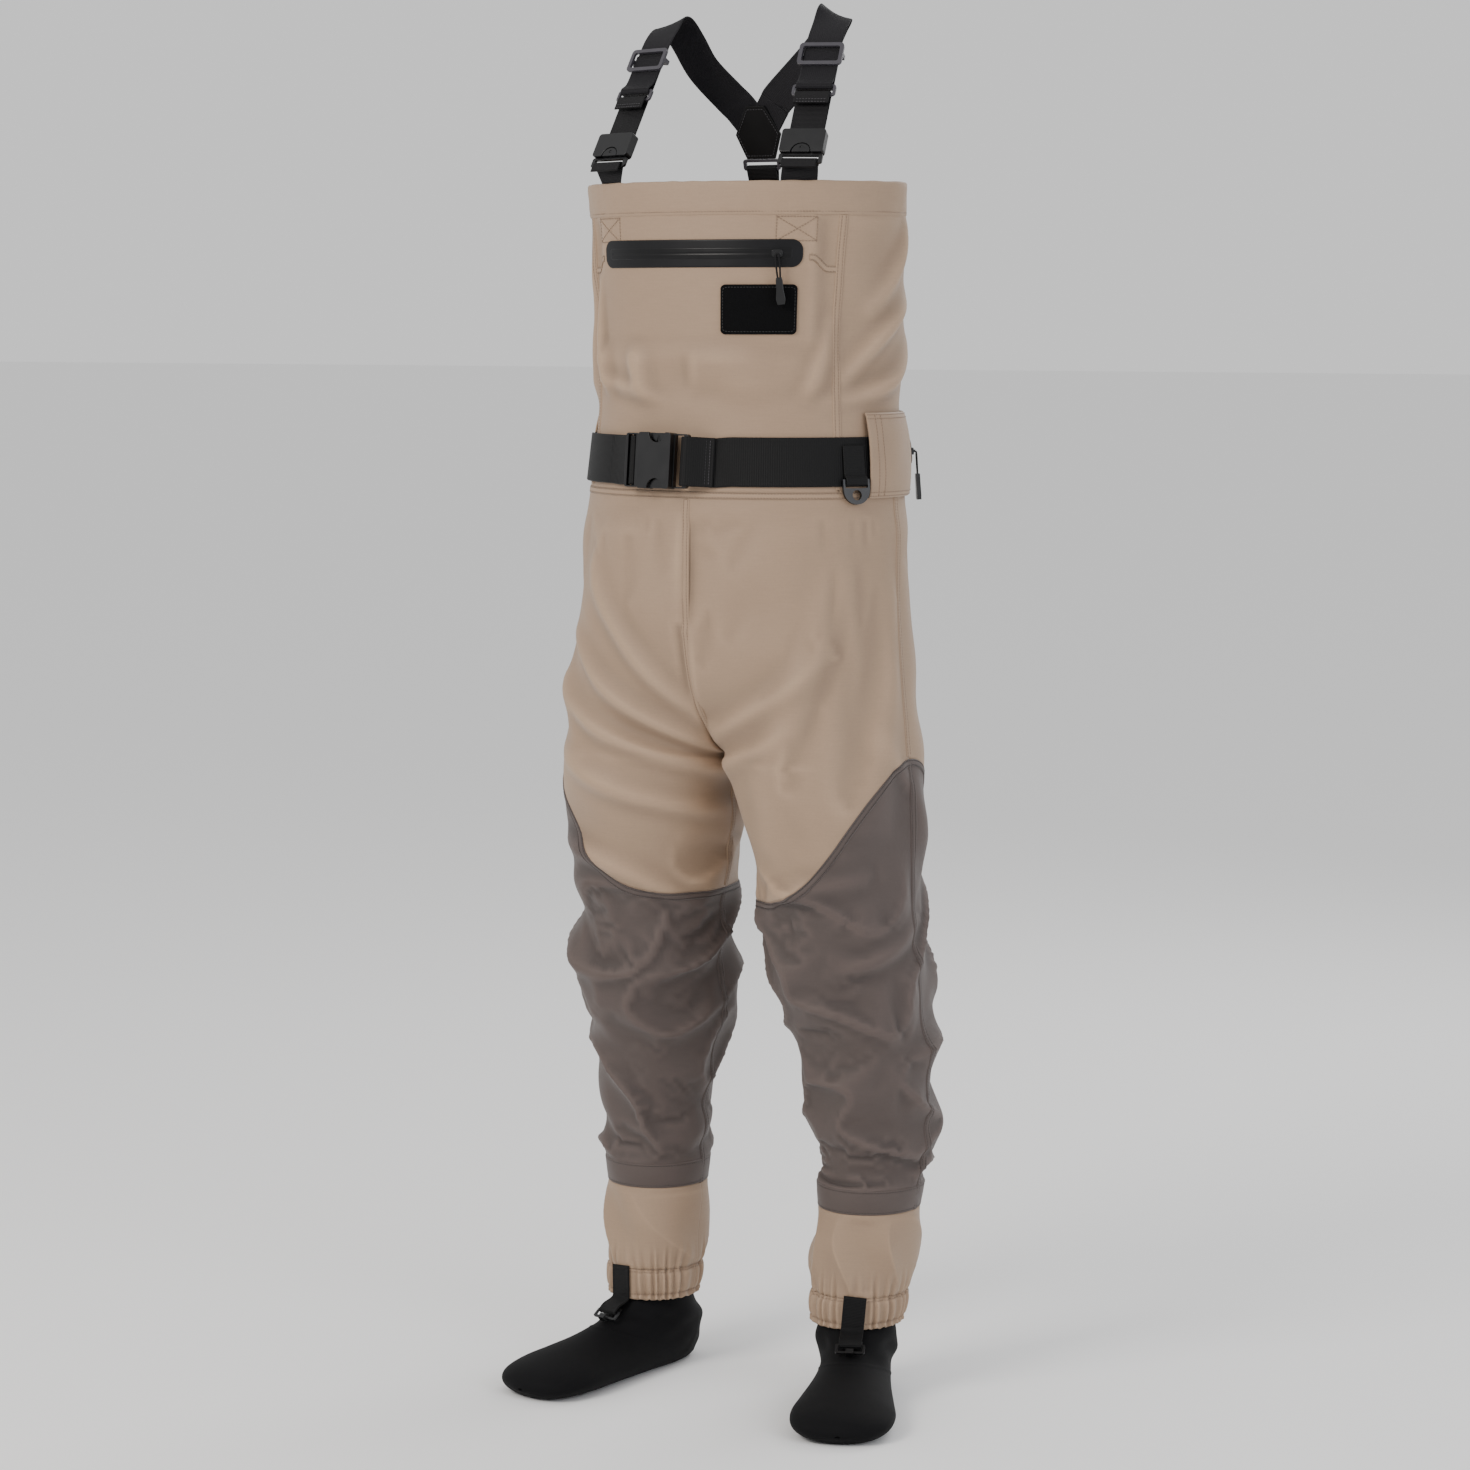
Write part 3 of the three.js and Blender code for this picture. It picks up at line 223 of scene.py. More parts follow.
row_z = np.linspace(RIM_Z, CUFF_Z, ROWS + 1)
column_u = np.linspace(0, 1, COLUMNS + 1)
grid_u, grid_z = np.meshgrid(column_u, row_z)


def ripples(p, wave, seed, count=12):
    """Smooth noise of about unit height: the sum of count sine waves in seeded random directions, with
    lengths round wave metres, at the points p."""
    rng = np.random.default_rng(seed)
    total = 0
    for _ in range(count):
        way = rng.normal(size=3)
        way *= 2 * pi / wave * rng.uniform(0.7, 1.35) / np.linalg.norm(way)
        total = total + np.sin(p @ way + rng.uniform(0, 2 * pi))
    return total / np.sqrt(count / 2)


def ridge(s, z, start, end, wide, high, bow=0.0):
    """One fold on the unrolled cloth: a bell-shaped ridge from start to end (metres round, metres up),
    bowed sideways, with a shallow trough on each side, dying away at both ends."""
    start, end = np.array(start), np.array(end)
    way = (end - start) / np.linalg.norm(end - start)
    along = ((s - start[0]) * way[0] + (z - start[1]) * way[1]) / np.linalg.norm(end - start)
    inside = np.clip(along, 0, 1)
    off = (s - start[0]) * way[1] - (z - start[1]) * way[0] - bow * 4 * inside * (1 - inside)
    past = np.maximum(np.abs(along - 0.5) - 0.5, 0) * np.linalg.norm(end - start) / wide
    q = off / wide
    return high * (1 - 0.55 * q * q) * np.exp(-q * q) * np.exp(-past**2) * (0.35 + 0.65 * np.sin(pi * inside))


# Folds, listed: (round, up) at one end, (round, up) at the other, half width, height, bow; in metres.
# Round is measured from the front crease of each leg: negative towards the inseam, positive outwards.
FOLD_DEPTH = 1.4
LEFT_FOLDS = [
    ((-0.10, 0.70), (0.02, 0.79), 0.017, 0.0070, 0.010),
    ((-0.11, 0.66), (0.00, 0.71), 0.014, 0.0050, 0.006),
    ((-0.02, 0.60), (0.03, 0.86), 0.020, 0.0050, -0.010),
    ((0.06, 0.62), (0.09, 0.84), 0.018, 0.0045, 0.008),
    ((0.13, 0.56), (0.08, 0.70), 0.015, 0.0050, 0.006),
    ((-0.07, 0.50), (0.05, 0.56), 0.014, 0.0060, -0.012),
    ((0.02, 0.46), (0.12, 0.52), 0.013, 0.0060, 0.008),
]
RIGHT_FOLDS = [
    ((-0.11, 0.69), (0.03, 0.80), 0.015, 0.0090, 0.012),
    ((-0.11, 0.66), (0.06, 0.75), 0.014, 0.0080, 0.012),
    ((-0.10, 0.73), (-0.01, 0.87), 0.014, 0.0070, 0.008),
    ((-0.09, 0.62), (0.05, 0.68), 0.014, 0.0060, 0.010),
    ((0.10, 0.80), (0.03, 0.68), 0.016, 0.0050, 0.008),
    ((-0.06, 0.52), (0.07, 0.58), 0.014, 0.0065, -0.012),
    ((0.00, 0.44), (0.11, 0.49), 0.013, 0.0070, 0.010),
]
BIB_FOLDS = {
    1: [
        ((0.13, 1.035), (0.27, 1.10), 0.015, 0.0085, 0.010),
        ((0.15, 1.07), (0.26, 1.15), 0.013, 0.0070, -0.006),
        ((0.10, 1.03), (0.13, 1.12), 0.012, 0.0050, 0.004),
        ((0.18, 1.14), (0.25, 1.23), 0.014, 0.0055, 0.006),
    ],
    -1: [
        ((0.10, 1.03), (0.12, 1.16), 0.014, 0.0070, 0.004),
        ((0.045, 1.03), (0.06, 1.13), 0.013, 0.0055, 0.003),
        ((0.16, 1.04), (0.14, 1.22), 0.013, 0.0060, 0.004),
        ((0.02, 1.035), (0.11, 1.065), 0.011, 0.0045, -0.004),
    ],
}


def starting_folds(side):
    """Height of the folds over the skin of one side: listed ridges, rings of buckles round the lower leg
    from noise stretched sideways, and a faint ripple everywhere; none where hardware is sewn."""
    base = trouser(grid_u, grid_z)
    half_width = 0.105
    round_leg = (grid_u - 0.25) * 4 * half_width
    high = np.zeros_like(grid_u)
    for fold in LEFT_FOLDS if side > 0 else RIGHT_FOLDS:
        high += FOLD_DEPTH * ridge(round_leg, grid_z, *fold)
    for fold in BIB_FOLDS[side]:
        high += FOLD_DEPTH * ridge(grid_u * 0.44, grid_z, *fold)
    a = 2 * pi * grid_u
    dip = 0.016 * np.cos(a - pi / 2) + 0.010 * ripples(base, 0.25, 31 + side)
    stretched = np.stack([0.055 * np.cos(a), 0.055 * np.sin(a), 1.25 * (grid_z + dip)], -1)
    buckle = 1 - 1.9 * np.abs(ripples(stretched, 0.115, 17 + side)) ** 0.8
    below_knee = ramp(grid_z, CUFF_Z, CUFF_Z + 0.035) * (1 - ramp(grid_z, 0.47, 0.62))
    high += 0.0062 * buckle * below_knee
    high += 0.0012 * ripples(base, 0.09, 5 + side) + 0.0016 * ripples(base, 0.2, 9 + side)
    return high * loose(grid_u, grid_z)


def loose(u, z):
    """How freely the cloth moves, 0 to 1: held at the rim, under the belt, at the cuff, and on the
    chest where the zip and the badge stiffen it."""
    free = 1 - ramp(z, 1.222, 1.245)
    free = free * np.maximum(ramp(z, BELT_ZONE[1], BELT_ZONE[1] + 0.03),
                             1 - ramp(z, BELT_ZONE[0] - 0.03, BELT_ZONE[0]))
    free = free * ramp(z, CUFF_Z + 0.024, CUFF_Z + 0.046)
    chest = ramp(z, 1.085, 1.110) * (1 - ramp(u, 0.245, 0.285))
    return free * (1 - chest)


def settle(skins):
    """The two halves of the skin welded at the middle and simulated as one cloth, cut longer than it
    hangs, round the wearer's shape; the held zones are pinned. Gives the two settled halves."""
    both = np.concatenate([skins[1].reshape(-1, 3), skins[-1].reshape(-1, 3)])
    _, first, welded = np.unique(np.round(both, 5), axis=0, return_index=True, return_inverse=True)
    welded = welded.ravel()
    points = both[first]
    index = welded.reshape(2, ROWS + 1, COLUMNS + 1)
    quads = []
    for half, order in ((0, (0, 1, 2, 3)), (1, (3, 2, 1, 0))):
        i = index[half]
        corners = [i[:-1, :-1], i[1:, :-1], i[1:, 1:], i[:-1, 1:]]
        quads.append(np.stack([corners[k].ravel() for k in order], -1))
    quads = np.concatenate(quads)

    def object_of(name, place):
        mesh = bpy.data.meshes.new(name)
        mesh.from_pydata(place.tolist(), [], quads.tolist())
        held = bpy.data.objects.new(name, mesh)
        bpy.context.scene.collection.objects.link(held)
        return held

    cloth = object_of("cloth_to_settle", points)
    inner = [trouser(grid_u, grid_z, -0.011) for _ in range(2)]
    inner[1][..., 0] *= -1
    wearer = object_of("wearer_shape", np.concatenate([p.reshape(-1, 3) for p in inner])[first])
    wearer.modifiers.new("wearer", "COLLISION")
    wearer.collision.thickness_outer = 0.001

    pinned = 1 - np.concatenate([loose(grid_u, grid_z).ravel()] * 2)[first]
    group = cloth.vertex_groups.new(name="held")
    steps = np.round(pinned**2 * 20) / 20
    for weight in np.unique(steps[steps > 0]):
        group.add(np.flatnonzero(steps == weight).tolist(), float(weight), "REPLACE")

    slack_at = [CUFF_Z, 0.215, 0.30, 0.45, 0.55, 0.65, 0.80, 0.93, 0.955, 1.01, 1.03, 1.10, 1.17, RIM_Z]
    slack = [0.0, 0.12, 0.22, 0.20, 0.12, 0.04, 0.012, 0.0, 0.0, 0.0, 0.035, 0.05, 0.02, 0.0]
    fine = np.linspace(CUFF_Z, RIM_Z, 500)
    longer = np.interp(fine, slack_at, slack)
    grown = np.concatenate([[0], np.cumsum((longer[1:] + longer[:-1]) / 2 * np.diff(fine))])
    cut = points.copy()
    cut[:, 2] += np.interp(points[:, 2], fine, grown) * (1 + 0.25 * ripples(points, 0.45, 3))
    cloth.shape_key_add(name="Basis")
    as_cut = cloth.shape_key_add(name="as_cut")
    as_cut.data.foreach_set("co", cut.ravel())
    as_cut.value = 0

    sewn = cloth.modifiers.new("laminate", "CLOTH")
    sewn.settings.quality = 5
    sewn.settings.mass = 0.12
    sewn.settings.tension_stiffness = 40
    sewn.settings.compression_stiffness = 80
    sewn.settings.shear_stiffness = 18
    sewn.settings.bending_stiffness = 4.5
    sewn.settings.effector_weights.gravity = 0.12
    sewn.settings.tension_damping = 10
    sewn.settings.compression_damping = 10
    sewn.settings.shear_damping = 8
    sewn.settings.vertex_group_mass = "held"
    sewn.settings.pin_stiffness = 1
    sewn.settings.rest_shape_key = as_cut
    sewn.collision_settings.distance_min = 0.002
    sewn.point_cache.frame_end = SETTLE_STEPS
    for step in range(1, SETTLE_STEPS + 1):
        bpy.context.scene.frame_set(step)
    settled = cloth.evaluated_get(bpy.context.evaluated_depsgraph_get()).to_mesh()
    place = np.empty(len(points) * 3, np.float32)
    settled.vertices.foreach_get("co", place)
    place = place.reshape(-1, 3)[welded].reshape(2, ROWS + 1, COLUMNS + 1, 3).astype(float)
    cloth.evaluated_get(bpy.context.evaluated_depsgraph_get()).to_mesh_clear()
    for used in (cloth, wearer):
        bpy.data.objects.remove(used)
    bpy.context.scene.frame_set(1)
    return {1: place[0], -1: place[1]}


def finer(grid, times):
    """The grid with times as many rows and columns, by a Catmull-Rom cubic through its points."""
    for axis in (0, 1):
        g = np.moveaxis(grid, axis, 0)
        n = len(g) - 1
        s = np.linspace(0, n, n * times + 1)
        k = np.minimum(s.astype(int), n - 1)
        f = (s - k).reshape(-1, *([1] * (g.ndim - 1)))
        padded = np.concatenate([2 * g[:1] - g[1:2], g, 2 * g[-1:] - g[-2:-1]])
        a, b, c, d = padded[k], padded[k + 1], padded[k + 2], padded[k + 3]
        g = b + 0.5 * f * (c - a + f * (2 * a - 5 * b + 4 * c - d + f * (3 * (b - c) + d - a)))
        grid = np.moveaxis(g, 0, axis)
    return grid


def outward(grid):
    """Unit normals of a grid whose rows go down and whose columns go round the left leg from the inseam
    to the front: the cross product of the steps along a row and down a column."""
    across = np.gradient(grid, axis=1)
    down = np.gradient(grid, axis=0)
    n = np.cross(down, across)
    return n / np.maximum(np.linalg.norm(n, axis=-1, keepdims=True), 1e-12)


SETTLE_STEPS = 25
skins = {}
for side in (1, -1):
    base = trouser(grid_u, grid_z)
    skin = base + outward(base) * starting_folds(side)[..., None]
    middle = np.isin(grid_u, (0, 1)) & (grid_z >= CROTCH_Z)
    skin[middle, 0] = 0
    seam = (skin[:, :1] + skin[:, -1:]) / 2
    closed = (grid_z[:, 0] < CROTCH_Z)[:, None, None]
    skin[:, :1] = np.where(closed, seam, skin[:, :1])
    skin[:, -1:] = np.where(closed, seam, skin[:, -1:])
    skins[side] = skin * (side, 1, 1)
for edge in (0, -1):
    above = grid_z[:, 0] >= CROTCH_Z
    level = (skins[1][above, edge] + skins[-1][above, edge]) / 2
    skins[1][above, edge] = level
    skins[-1][above, edge] = level
skins = settle(skins)
fine_skin = {side: finer(skins[side], SKIN_FINER) for side in skins}
fine_out = {side: outward(fine_skin[side]) * side for side in fine_skin}


def on_skin(side, u, z, out=0.0):
    """Point and normal of the hanging cloth of one side (1 left, -1 right) at u round and z up as cut,
    moved out by out: read from the fine grid between its four nearest points."""
    u, z, out = np.broadcast_arrays(u, z, out)
    c = np.clip(u, 0, 1) * COLUMNS * SKIN_FINER
    r = np.clip((RIM_Z - z) / (RIM_Z - CUFF_Z), 0, 1) * ROWS * SKIN_FINER
    c0 = np.minimum(c.astype(int), COLUMNS * SKIN_FINER - 1)
    r0 = np.minimum(r.astype(int), ROWS * SKIN_FINER - 1)
    fc, fr = (c - c0)[..., None], (r - r0)[..., None]
    read = [
        (g[r0, c0] * (1 - fc) + g[r0, c0 + 1] * fc) * (1 - fr)
        + (g[r0 + 1, c0] * (1 - fc) + g[r0 + 1, c0 + 1] * fc) * fr
        for g in (fine_skin[side], fine_out[side])
    ]
    normal = read[1] / np.maximum(np.linalg.norm(read[1], axis=-1, keepdims=True), 1e-12)
    return read[0] + normal * out[..., None], normal


def round_skin(t, z, out=0.0):
    """The same for the whole torso, by the angle t of torso(): the right half is the left half turned over."""
    t, z, out = np.broadcast_arrays(t, z, out)
    wrapped = (t + pi / 2) % (2 * pi)
    left = wrapped <= pi
    u = np.where(left, wrapped, 2 * pi - wrapped) / pi
    a, na = on_skin(1, u, z, out)
    b, nb = on_skin(-1, u, z, out)
    return np.where(left[..., None], a, b), np.where(left[..., None], na, nb)


# ---------------------------------------------------------------- laminate panels
# Three-layer laminate: a plain-woven nylon face on a membrane. The bib and thighs are tan; the lower
# legs are a heavier umber. Panels are cut flat and sewn, so each is one continuous sheet.
def surface_mesh(name, points, uv, attributes=None, closed=False):
    """A mesh of the grid points (rows, columns, 3), its faces turned so that down x across points out,
    with uv in metres; closed joins the last column to the first."""
    rows, columns = points.shape[:2]
    index = np.arange(rows * columns).reshape(rows, columns)
    if closed:
        index = np.concatenate([index, index[:, :1]], 1)
    quads = np.stack([index[:-1, :-1], index[1:, :-1], index[1:, 1:], index[:-1, 1:]], -1).reshape(-1, 4)
    mesh = bpy.data.meshes.new(name)
    mesh.from_pydata(points.reshape(-1, 3).tolist(), [], quads.tolist())
    mesh.polygons.foreach_set("use_smooth", np.ones(len(quads), bool))
    if uv is not None:
        spread = np.concatenate([uv, 2 * uv[:, -1:] - uv[:, -2:-1]], 1) if closed else uv
        at = np.stack([spread[:-1, :-1], spread[1:, :-1], spread[1:, 1:], spread[:-1, 1:]], -2)
        mesh.uv_layers.new(name="cloth").data.foreach_set("uv", at.reshape(-1).astype(np.float32))
    for key, values in (attributes or {}).items():
        layer = mesh.attributes.new(key, "FLOAT", "POINT")
        layer.data.foreach_set("value", np.ascontiguousarray(values, np.float32).ravel())
    return mesh


def place(name, mesh, body, material, slot, replaces=(), modifiers=()):
    """Links the mesh as a piece on a body; where body is (first, second, start, end) the piece is left
    unparented where it stands: its material, the CAD nodes that it stands for, and its modifiers. The slot is not
    used."""
    piece = bpy.data.objects.new(name + "_made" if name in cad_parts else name, mesh)
    bpy.context.scene.collection.objects.link(piece)
    if not mesh.materials:
        mesh.materials.append(material)
    for kind, settings in modifiers:
        modifier = piece.modifiers.new(kind.lower(), kind)
        for key, value in settings.items():
            setattr(modifier, key, value)
    if isinstance(body, tuple):
        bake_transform(piece)
    else:
        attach(piece, body)
    if replaces:
        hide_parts(*replaces)
    return piece


def arc_lengths(points):
    """Distance along each row of a grid of points, from its first column, as the median row has it."""
    step = np.linalg.norm(np.diff(points, axis=1), axis=-1)
    along = np.concatenate([np.zeros((len(points), 1)), np.cumsum(step, 1)], 1)
    return np.broadcast_to(np.median(along, 0), along.shape)


def crease_of(points, reach=3):
    """How far each point of a grid lies above (+) or below (-) the mean of its surroundings, in
    millimetres: it sets the painted shade that darkens the laminate, most in creases and not at all on crests."""
    n = outward(points)
    mean = points.copy()
    for _ in range(reach):
        padded = np.pad(mean, ((1, 1), (1, 1), (0, 0)), "edge")
        mean = (padded[:-2, 1:-1] + padded[2:, 1:-1] + padded[1:-1, :-2] + padded[1:-1, 2:]) / 4
    return ((points - mean) * n).sum(-1) * 1000


def blank(name):
    """A new material, its node tree and its main shader."""
    material = bpy.data.materials.new(name)
    material.use_nodes = True
    return material, material.node_tree, material.node_tree.nodes["Principled BSDF"]


def finish(tree, shader, colour, value, between, tones, height=None, strength=0.0, depth=0.0, gloss=None,
           **sockets):
    """Finishes a shader: the colour goes from the first tone to the second as the value goes between its
    two levels; height gives relief of that strength and depth in metres; gloss is (value, roughness,
    spread either way); sockets are plain numbers, with _ for a space."""
    tone = add(tree, "ShaderNodeHueSaturation", {}, {
        "Color": colour,
        "Value": add(tree, "ShaderNodeMapRange", {}, {
            "Value": value, "From Min": between[0], "From Max": between[1],
            "To Min": tones[0], "To Max": tones[1]}).outputs[0]})
    tree.links.new(tone.outputs[0], shader.inputs["Base Color"])
    if height:
        bump = add(tree, "ShaderNodeBump", {}, {"Strength": strength, "Distance": depth, "Height": height})
        tree.links.new(bump.outputs[0], shader.inputs["Normal"])
    if gloss:
        uneven = add(tree, "ShaderNodeMapRange", {}, {
            "Value": gloss[0], "To Min": gloss[1] - gloss[2], "To Max": gloss[1] + gloss[2]})
        tree.links.new(uneven.outputs[0], shader.inputs["Roughness"])
    for socket, number in sockets.items():
        shader.inputs[socket.replace("_", " ")].default_value = number


LAMINATE_THREAD = 0.0011  # real threads lie 0.6 mm apart; drawn wider so that they show


def laminate(name, face, pale, deep, rough):
    """Woven nylon face of a laminate: matt, faintly sheeny. Broad mottling, and painted shade that
    darkens the colour towards the deep tone in the creases, keep it from looking flat."""
    material, tree, shader = blank(name)
    uv = add(tree, "ShaderNodeUVMap", {"uv_map": "cloth"}).outputs["UV"]
    place_of = add(tree, "ShaderNodeTexCoord").outputs["Object"]
    bands = [
        add(tree, "ShaderNodeTexWave", {"bands_direction": way, "wave_profile": "SIN"},
            {"Vector": uv, "Scale": 0.314 / LAMINATE_THREAD, "Distortion": 0.6, "Detail": 1.0,
             "Detail Scale": 0.4}).outputs["Fac"]
        for way in ("X", "Y")
    ]
    weave = add(tree, "ShaderNodeMath", {"operation": "MULTIPLY"}, {0: bands[0], 1: bands[1]}).outputs[0]
    cloud, grain = [
        add(tree, "ShaderNodeTexNoise", {}, {"Vector": place_of, "Scale": scale, "Detail": detail,
                                             "Roughness": coarse}).outputs["Fac"]
        for scale, detail, coarse in ((9.0, 4.0, 0.6), (420.0, 3.0, 0.7))
    ]
    slub = add(tree, "ShaderNodeTexNoise", {}, {
        "Vector": add(tree, "ShaderNodeMapping", {}, {"Vector": uv, "Scale": (40, 900, 1)}).outputs[0],
        "Scale": 1.0, "Detail": 2.0}).outputs["Fac"]
    # Painted shade: the colour is mixed towards the deep tone where the fold attribute says the cloth lies in a
    # crease.
    fold = add(tree, "ShaderNodeAttribute", {"attribute_name": "fold"}).outputs["Fac"]
    fold_shade_level = add(tree, "ShaderNodeMapRange", {}, {"Value": fold, "From Min": -0.8, "From Max": 0.8}).outputs[0]
    crease_shade_weight = add(tree, "ShaderNodeMapRange", {}, {"Value": fold_shade_level, "To Min": 0.8, "To Max": 0.0}).outputs[0]
    base = add(tree, "ShaderNodeMix", {"data_type": "RGBA"},
               {0: cloud, 6: linear(face), 7: linear(pale)}).outputs[2]
    shaded = add(tree, "ShaderNodeMix", {"data_type": "RGBA"},
                 {0: crease_shade_weight, 6: base, 7: linear(deep)}).outputs[2]
    speck = add(tree, "ShaderNodeMath", {"operation": "ADD"}, {
        0: add(tree, "ShaderNodeMath", {"operation": "MULTIPLY"}, {0: grain, 1: 0.6}).outputs[0],
        1: add(tree, "ShaderNodeMath", {"operation": "MULTIPLY"}, {0: slub, 1: 0.5}).outputs[0]}).outputs[0]
    height = add(tree, "ShaderNodeMath", {"operation": "MULTIPLY_ADD"}, {0: grain, 1: 0.7, 2: weave}).outputs[0]
    finish(tree, shader, shaded, speck, (0.2, 0.9), (0.9, 1.09), height, 0.55, 0.00022, (cloud, rough, 0.07),
           IOR=1.53, Sheen_Weight=0.12, Sheen_Roughness=0.5, Specular_IOR_Level=0.42)
    return material


# The third colour of each laminate is the tone of its painted crease shade.
tan_laminate = laminate("tan_nylon_laminate", "#9f846c", "#aa9077", "#7b6653", 0.60)
umber_laminate = laminate("umber_nylon_laminate", "#4e423e", "#584b46", "#372e2b", 0.64)
shell_wall = (("SOLIDIFY", {"thickness": CLOTH - 0.0004, "offset": -1.0, "use_even_offset": False}),)
CELL = 0.0036  # side of one face of a panel


def panel(name, points, z, material, slot):
    """A sewn panel: a grid of points of the hanging cloth and their heights as cut, with a wall turned
    inwards."""
    mesh = surface_mesh(name, points, np.stack([arc_lengths(points), z], -1), {"fold": crease_of(points)})
    return place(name, mesh, "garment", material, slot, (name,), shell_wall)


def bib_panel(name, start, end):
    """Bib panel between two angles of the torso, from the rim to the waist seam."""
    rows, columns = round((RIM_Z - WAIST_SEAM_Z) / CELL), round((end - start) * 0.145 / CELL)
    t = np.linspace(start, end, columns + 1)
    z = np.broadcast_to(np.linspace(RIM_Z, WAIST_SEAM_Z, rows + 1)[:, None], (rows + 1, columns + 1))
    panel(name, round_skin(t, z)[0], z, tan_laminate, "tan_laminate")


PRINCESS = radians(33)
bib_panel("bib_front_panel", -pi + PRINCESS, -PRINCESS)
bib_panel("bib_back_left_panel", -PRINCESS, pi / 2)
bib_panel("bib_back_right_panel", pi / 2, pi + PRINCESS)


def leg_panel(name, side, start, end, top, bottom, material, slot):
    """Leg panel between two shares u of the leg, from height top(u) to bottom(u)."""
    u = np.linspace(start, end, round(0.26 / CELL) + 1)
    rows = round((top(0.5) - bottom(0.1)) / CELL)
    z = top(u) + np.linspace(0, 1, rows + 1)[:, None] * (bottom(u) - top(u))
    if side < 0:
        u, z = u[::-1], z[:, ::-1]
    panel(name, on_skin(side, u, z)[0], z, material, slot)


for side, hand in ((1, "left"), (-1, "right")):
    at_waist, at_cuff = (lambda u: WAIST_SEAM_Z + 0 * u), (lambda u: CUFF_Z + 0 * u)
    leg_panel(f"thigh_front_{hand}", side, 0, 0.5, at_waist, knee_seam, tan_laminate, "tan_laminate")
    leg_panel(f"thigh_back_{hand}", side, 0.5, 1, at_waist, knee_seam, tan_laminate, "tan_laminate")
    leg_panel(f"shin_front_{hand}", side, 0, 0.5, knee_seam, at_cuff, umber_laminate, "umber_laminate")
    leg_panel(f"calf_back_{hand}", side, 0.5, 1, knee_seam, at_cuff, umber_laminate, "umber_laminate")

# ---------------------------------------------------------------- seams and stitches
# Every seam is folded flat and sewn down with two rows of polyester thread, so it stands about a
# millimetre proud; a tape is bonded behind it. The rim is a deep hem with one row of stitches.
def unit(vectors):
    """The vectors at length 1."""
    return vectors / np.linalg.norm(vectors, axis=-1, keepdims=True)


def run_of(path):
    """Length along a path up to each of its points."""
    return np.concatenate([[0], np.cumsum(np.linalg.norm(np.diff(path, axis=0), axis=1))])


def sideways_of(path, normals):
    """Sideways direction at each point of a path that lies on a surface."""
    return unit(np.cross(normals, unit(np.gradient(path, axis=0))))


def swept(points, sideways, normals, profile):
    """A profile (sideways, out) carried along a path: the grid of profile points by path points."""
    profile = np.asarray(profile)
    return points + profile[:, 0, None, None] * sideways + profile[:, 1, None, None] * normals


def seam_strip(name, points, normals, wide, high, material, slot, twin=0.0022):
    """Felled seam: a low band over the path, its section a flat top with rounded shoulders and a
    shallow groove under each row of stitches."""
    half, dip = wide / 2, high * 0.3
    profile = [
        (-half - 0.0004, -0.0009), (-half, high * 0.45), (-half + 0.0008, high), (-twin - 0.0009, high),
        (-twin, high - dip), (-twin + 0.0009, high), (0, high * 1.15), (twin - 0.0009, high),
        (twin, high - dip), (twin + 0.0009, high), (half - 0.0008, high), (half, high * 0.45),
        (half + 0.0004, -0.0009),
    ]
    grid = swept(points, sideways_of(points, normals), normals, profile)
    uv = np.stack(np.broadcast_arrays(run_of(points)[None], np.asarray(profile)[:, :1]), -1)
    # A fixed fold level of 0.15 gives the seam a little less painted crease shade than flat cloth.
    mesh = surface_mesh(name, grid[::-1], uv[::-1], {"fold": np.full(grid.shape[:2], 0.15)})
    return place(name, mesh, "garment", material, slot)


ROWS_APART = 0.0022  # from a seam's middle to each of its two rows of stitches
stitches = {}


def sew(thread, points, normals, offset=0.0, out=0.0004, pitch=0.0032, long=0.0024, thick=0.00034):
    """Lays a row of stitches along a path, offset sideways: one short spindle every pitch metres. The
    spindles are kept per thread and made into one mesh when their section ends."""
    line = points + offset * sideways_of(points, normals) + out * normals
    run = run_of(line)
    at = np.arange(pitch / 2, run[-1], pitch)
    centre = np.stack([np.interp(at, run, line[:, k]) for k in range(3)], -1)
    ahead = np.stack([np.interp(at + pitch / 8, run, line[:, k]) for k in range(3)], -1)
    up = np.stack([np.interp(at, run, normals[:, k]) for k in range(3)], -1)
    way = ahead - centre
    way /= np.maximum(np.linalg.norm(way, axis=1, keepdims=True), 1e-9)
    stitches.setdefault(thread, []).append((centre, way, up, long, thick))


def sewn_mesh(name, rows):
    """All stitches of some rows as one mesh: each a five-sided spindle of four rings with closed ends."""
    ring = np.arange(5) * 2 * pi / 5
    stations = np.array([(-0.5, 0.35), (-0.3, 1.0), (0.3, 1.0), (0.5, 0.35)])
    places, faces, count = [], [], 0
    quads = [(5 * j + i, 5 * j + (i + 1) % 5, 5 * (j + 1) + (i + 1) % 5, 5 * (j + 1) + i)
             for j in range(3) for i in range(5)]
    for centre, way, up, long, thick in rows:
        side_way = np.cross(up, way)
        p = (centre[:, None, None] + way[:, None, None] * (stations[:, 0] * long)[None, :, None, None]
             + (side_way[:, None, None] * np.cos(ring)[None, None, :, None] * 1.25
                + up[:, None, None] * np.sin(ring)[None, None, :, None])
             * (stations[:, 1] * thick)[None, :, None, None])
        places.append(p.reshape(-1, 3))
        start = count + np.arange(len(centre)) * 20
        faces += (start[:, None, None] + np.array(quads)[None]).reshape(-1, 4).tolist()
        faces += (start[:, None] + np.array([4, 3, 2, 1, 0])[None]).tolist()
        faces += (start[:, None] + np.array([15, 16, 17, 18, 19])[None]).tolist()
        count += len(centre) * 20
    mesh = bpy.data.meshes.new(name)
    mesh.from_pydata(np.concatenate(places).tolist(), [], faces)
    mesh.polygons.foreach_set("use_smooth", np.ones(len(mesh.polygons), bool))
    return mesh


def place_stitches(name, row, body, material, slot):
    """Makes one piece of all the stitches kept under that row's name."""
    place(name, sewn_mesh(name, stitches.pop(row)), body, material, slot)


